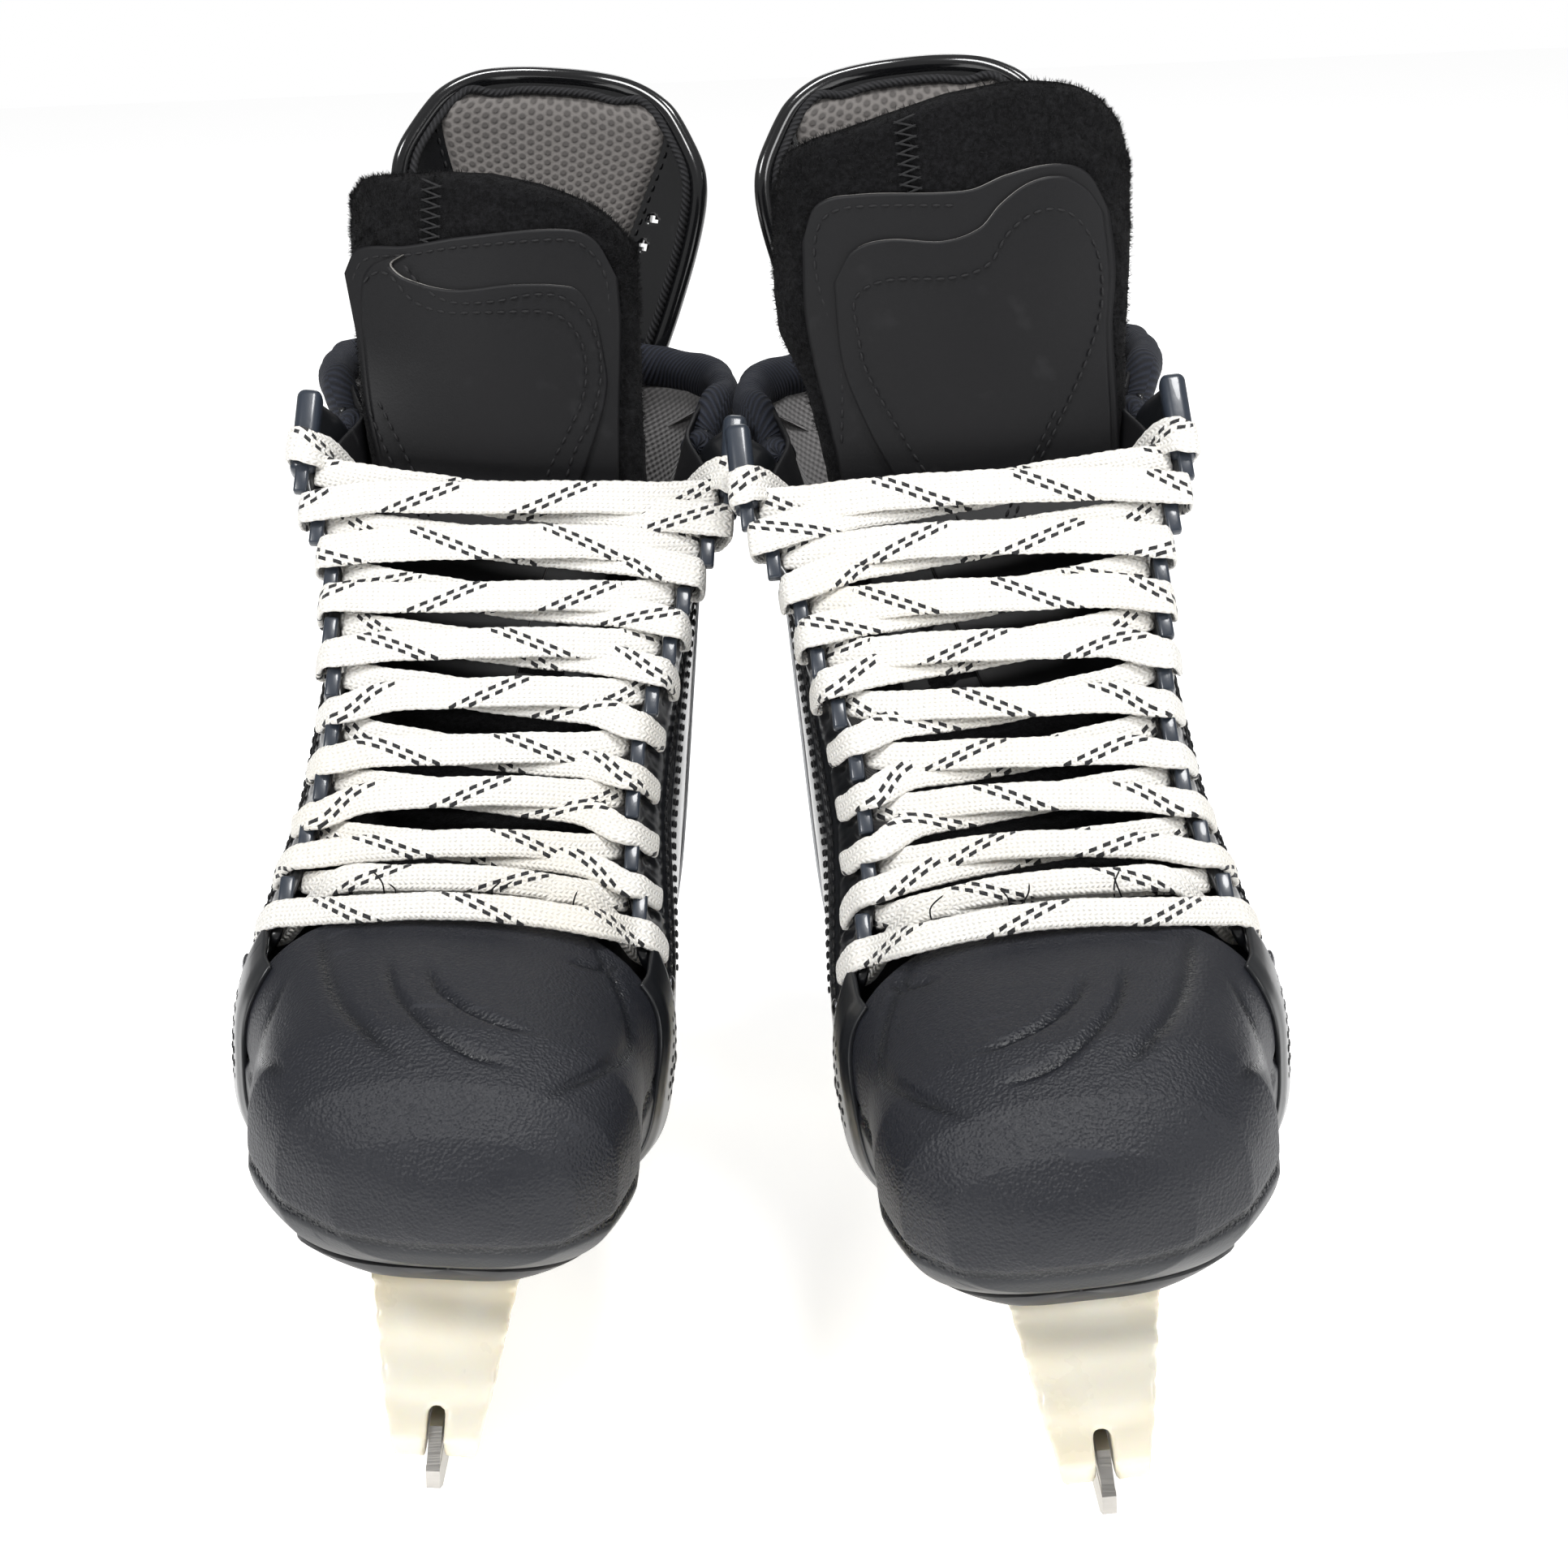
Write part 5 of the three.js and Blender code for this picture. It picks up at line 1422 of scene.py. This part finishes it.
# ---------- tendon guard ----------
GUARD_BASE, GUARD_TOP, GUARD_WIDTH, GUARD_BEND = FACING_TOP - 17.6, FACING_TOP + 74.5, 82.0, -0.0088
GUARD_REACH = 8  # a height above the guard's base, handed to bend(), which doesn't bend the guard
GUARD_SHAPE = [(0.0, 0.62), (0.12, 0.70), (0.36, 0.86), (0.62, 0.985), (0.76, 0.985), (0.87, 0.86), (0.95, 0.72),
               (1.0, 0.60)]
GUARD_PAD = [(0.12, 10), (0.3, 14), (0.5, 21), (0.68, 26.5), (0.84, 31), (0.9, 31), (0.95, 28)]


def guard_y(z):
    """The middle of the guard's lean at a height."""
    return station(0.973) - 2 + (z - GUARD_BASE) * 0.12


def guard_outline(inset=0.0):
    """The guard's edge from its base on one side over the top to the other, in x and z."""
    side = []
    for n in range(25):
        h = n / 24 * 0.93
        side.append((eased(GUARD_SHAPE, h) * GUARD_WIDTH / 2 - inset, mix(GUARD_BASE, GUARD_TOP, h)))
    (x, z), top = side[-1], GUARD_TOP - inset
    half = side + [(x - 4.5, z + 3.2), (x - 11, top - 0.8), (x * 0.35, top + 0.4)]
    return curve_through(half + [(0, top + 0.7)] + [(-x, z) for x, z in reversed(half)], 1.0)


def on_guard(x, z, forward=0.0):
    """A point of the guard's curved sheet, or in front of it."""
    return (x, guard_y(z) - 1.6 + GUARD_BEND * x * x - forward, z)


for skate in SKATES:
    outline = guard_outline()
    half_count = len(outline) // 2

    def plate(a, b):
        i = round(b * half_count)
        (xa, za), (xb, zb) = outline[i], outline[len(outline) - 1 - i]
        return on_guard(mix(xb, xa, a), mix(zb, za, a))

    bm = grid(84, half_count, plate, size=(0.08, 0.1))
    for hx, hz in ((29.1, 247.4), (26.7, 239.8)) if skate == "right" else ((-29.1, 249), (-26.7, 241)):
        near = [f for f in bm.faces if math.hypot(f.calc_center_median().x - hx, f.calc_center_median().z - hz) < 1.35]
        bmesh.ops.delete(bm, geom=near, context="FACES")
    shell = piece(bm, skate, "guard_plate", guard_black, None, ["tendon_guard"])
    thicken(shell, 2.6, 0)
    rim = piece(tube([on_guard(x, z) for x, z in outline[::3]] + [on_guard(*outline[-1])], 2.1, 14, squash=1.3,
                     step=1.2), skate, "guard_rim", guard_black, None)
    inner_line = guard_outline(3.4)[18:-18:3]
    binding = piece(tube([on_guard(x, z, 2.2) for x, z in inner_line], 1.35, 10, squash=0.8, step=0.8, ribs=0.22,
                         rib_length=1.6), skate, "guard_binding", binding_cloth, None)

    def pad(a, b):
        u, h = 2 * a - 1, mix(0.10, 0.955, b)
        half = eased(GUARD_PAD, h)
        z = mix(GUARD_BASE, GUARD_TOP, h) + 0.8 * (1 - u * u) * smooth((b - 0.8) / 0.2)
        x = u * half
        near = min((1 - abs(u)) * half, (1 - b) * 82, b * 82)
        swell = 4.4 * (1 - (1 - clamp(near / 7)) ** 2.4) - 0.4
        return (x, guard_y(z) - 2.4 + GUARD_BEND * x * x - swell, z)

    soft = piece(grid(60, 84, pad, size=(0.058, 0.082)), skate, "guard_mesh_pad", pad_mesh, None,
                 ["tendon_guard_pad"], middle=(0, 170, 240))
    edge_path = []
    for n in range(8, 30):
        h = mix(0.10, 0.955, n / 30)
        edge_path.append((eased(GUARD_PAD, h) + 0.6, mix(GUARD_BASE, GUARD_TOP, h)))
    pads = [[on_guard(s * x, z, 1.9) for x, z in edge_path] for s in (1, -1)]
    seam = piece(stitches(pads, 2.0, 3.2, 0.34), skate, "guard_pad_stitching", thread, None)
    bend(skate, "guard", guard_y(GUARD_BASE), GUARD_BASE, GUARD_BASE + GUARD_REACH, (shell, rim, binding, soft, seam))


# ---------- holder, runner and small fittings ----------

VOXEL, QUICK_VOXEL = 0.0009, 0.0016  # metres


def applied(obj):
    """Puts a piece's modifiers into its mesh."""
    graph = bpy.context.evaluated_depsgraph_get()
    mesh = bpy.data.meshes.new_from_object(obj.evaluated_get(graph))
    obj.modifiers.clear()
    obj.data = mesh


def rivet_head(heads, place, way, radius, height):
    turned = Matrix.Translation(place) @ way.to_track_quat("Z", "Y").to_matrix().to_4x4()
    bmesh.ops.create_uvsphere(heads, u_segments=20, v_segments=10, radius=1.0,
                              matrix=turned @ Matrix.Diagonal((radius, radius, height, 1)))


for skate in SKATES:
    inverse = PLACE[skate].inverted()
    bm = bmesh.new()
    bm.from_mesh(NODES[f"{skate}_holder"].data)
    bmesh.ops.remove_doubles(bm, verts=bm.verts, dist=1e-6)
    holder = linked(f"{skate}_moulded_holder", as_mesh(bm, f"{skate}_moulded_holder"))
    skin = holder.modifiers.new("even skin", "REMESH")
    skin.mode, skin.voxel_size = "VOXEL", VOXEL
    soften = holder.modifiers.new("soft edges", "SMOOTH")
    soften.factor, soften.iterations = 0.5, 5
    applied(holder)
    for v in holder.data.vertices:
        p = inverse @ v.co
        if 21 < p.z < 53 and p.y < -40:
            n = 0.5 * math.sin((p.z + 0.06 * p.y) * 0.62) * smooth((p.z - 21) / 6) * smooth((53 - p.z) / 6)
            width = max(abs(p.x), 1e-3)
            p.x += math.copysign(n * clamp(width / 8), p.x)
            if p.y < -104:
                p.y -= n * 0.8
            v.co = PLACE[skate] @ p
    holder.data.polygons.foreach_set("use_smooth", [True] * len(holder.data.polygons))
    holder.data.materials.clear()
    holder.data.materials.append(holder_cream)
    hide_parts(f"{skate}_holder")
    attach(holder, f"{skate}_boot")

    for label, material in (("runner", runner_steel), ("trigger", trigger_black), ("trigger_pin", small_steel),
                            ("trigger_spring", small_steel)):
        obj = NODES[f"{skate}_{label}"]
        for material_slot in obj.material_slots:
            material_slot.material = material
        if not obj.material_slots:
            obj.data.materials.append(material)

    # the rivets that hold the towers, and those on the quarters: domed heads
    heads = bmesh.new()
    for y, x in ((station(0.16), 20), (station(0.3), 21), (station(0.75), 17), (station(0.9), 17)):
        for s in (1, -1):
            rivet_head(heads, Vector((s * x, y, sole_z(y) - 0.3 - 2.5 - 5.3)), Vector((0, 0, -1)), 3.8, 1.4)
    piece(heads, skate, "tower_rivets", rivet_steel, "boot",
          [f"{s}_rivet_{k}" for k in (1, 2, 3, 4) for s in ("inner", "outer")])
    heads = bmesh.new()
    for s in (1, -1):
        for y, z in ((-64, 99), (-70, 84), (-52, 72), (-28, 68)):
            rivet_head(heads, on_side(s, y, z, 1.3 if y < -60 else 0.5), Vector((s, -0.1, 0.1)), 2.3, 0.9)
    piece(heads, skate, "quarter_rivets", rivet_steel, "boot")

    # loose thread ends at the cap's rear edge
    rng = random.Random(21 if skate == "right" else 22)
    tufts = []
    for x in (4, 5.5, -18, -20, 22):
        root = Vector((x, -66.5 + rng.uniform(-1, 1), 117.2))
        tip = root + Vector((rng.uniform(-5, 5), rng.uniform(-3, 2), rng.uniform(4, 8)))
        bend = root.lerp(tip, 0.5) + Vector((rng.uniform(-2, 2), -1, 1))
        tufts.append(tube([root, bend, tip], 0.2, 5, step=0.8))
    piece(join(*tufts), skate, "loose_thread_ends", thread, "boot")

# ---------- floor ----------
bm = bmesh.new()
bmesh.ops.create_grid(bm, x_segments=2, y_segments=2, size=4.0)
floor = linked("pale_floor", as_mesh(bm, "pale_floor"))
floor.location.z = CAD_LOW.z - 0.0002
floor_finish = Finish("pale floor", (0.95, 0.95, 0.95), 0.9)
floor_finish.set("Base Color", floor_finish.tint((0.96, 0.96, 0.96), (0.93, 0.93, 0.93), floor_finish.noise(3)))
floor_finish.shader.inputs["Emission Color"].default_value = (1, 1, 1, 1)
floor_finish.shader.inputs["Emission Strength"].default_value = 0.66
floor.data.materials.append(floor_finish.material)
floor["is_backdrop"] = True

low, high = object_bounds()
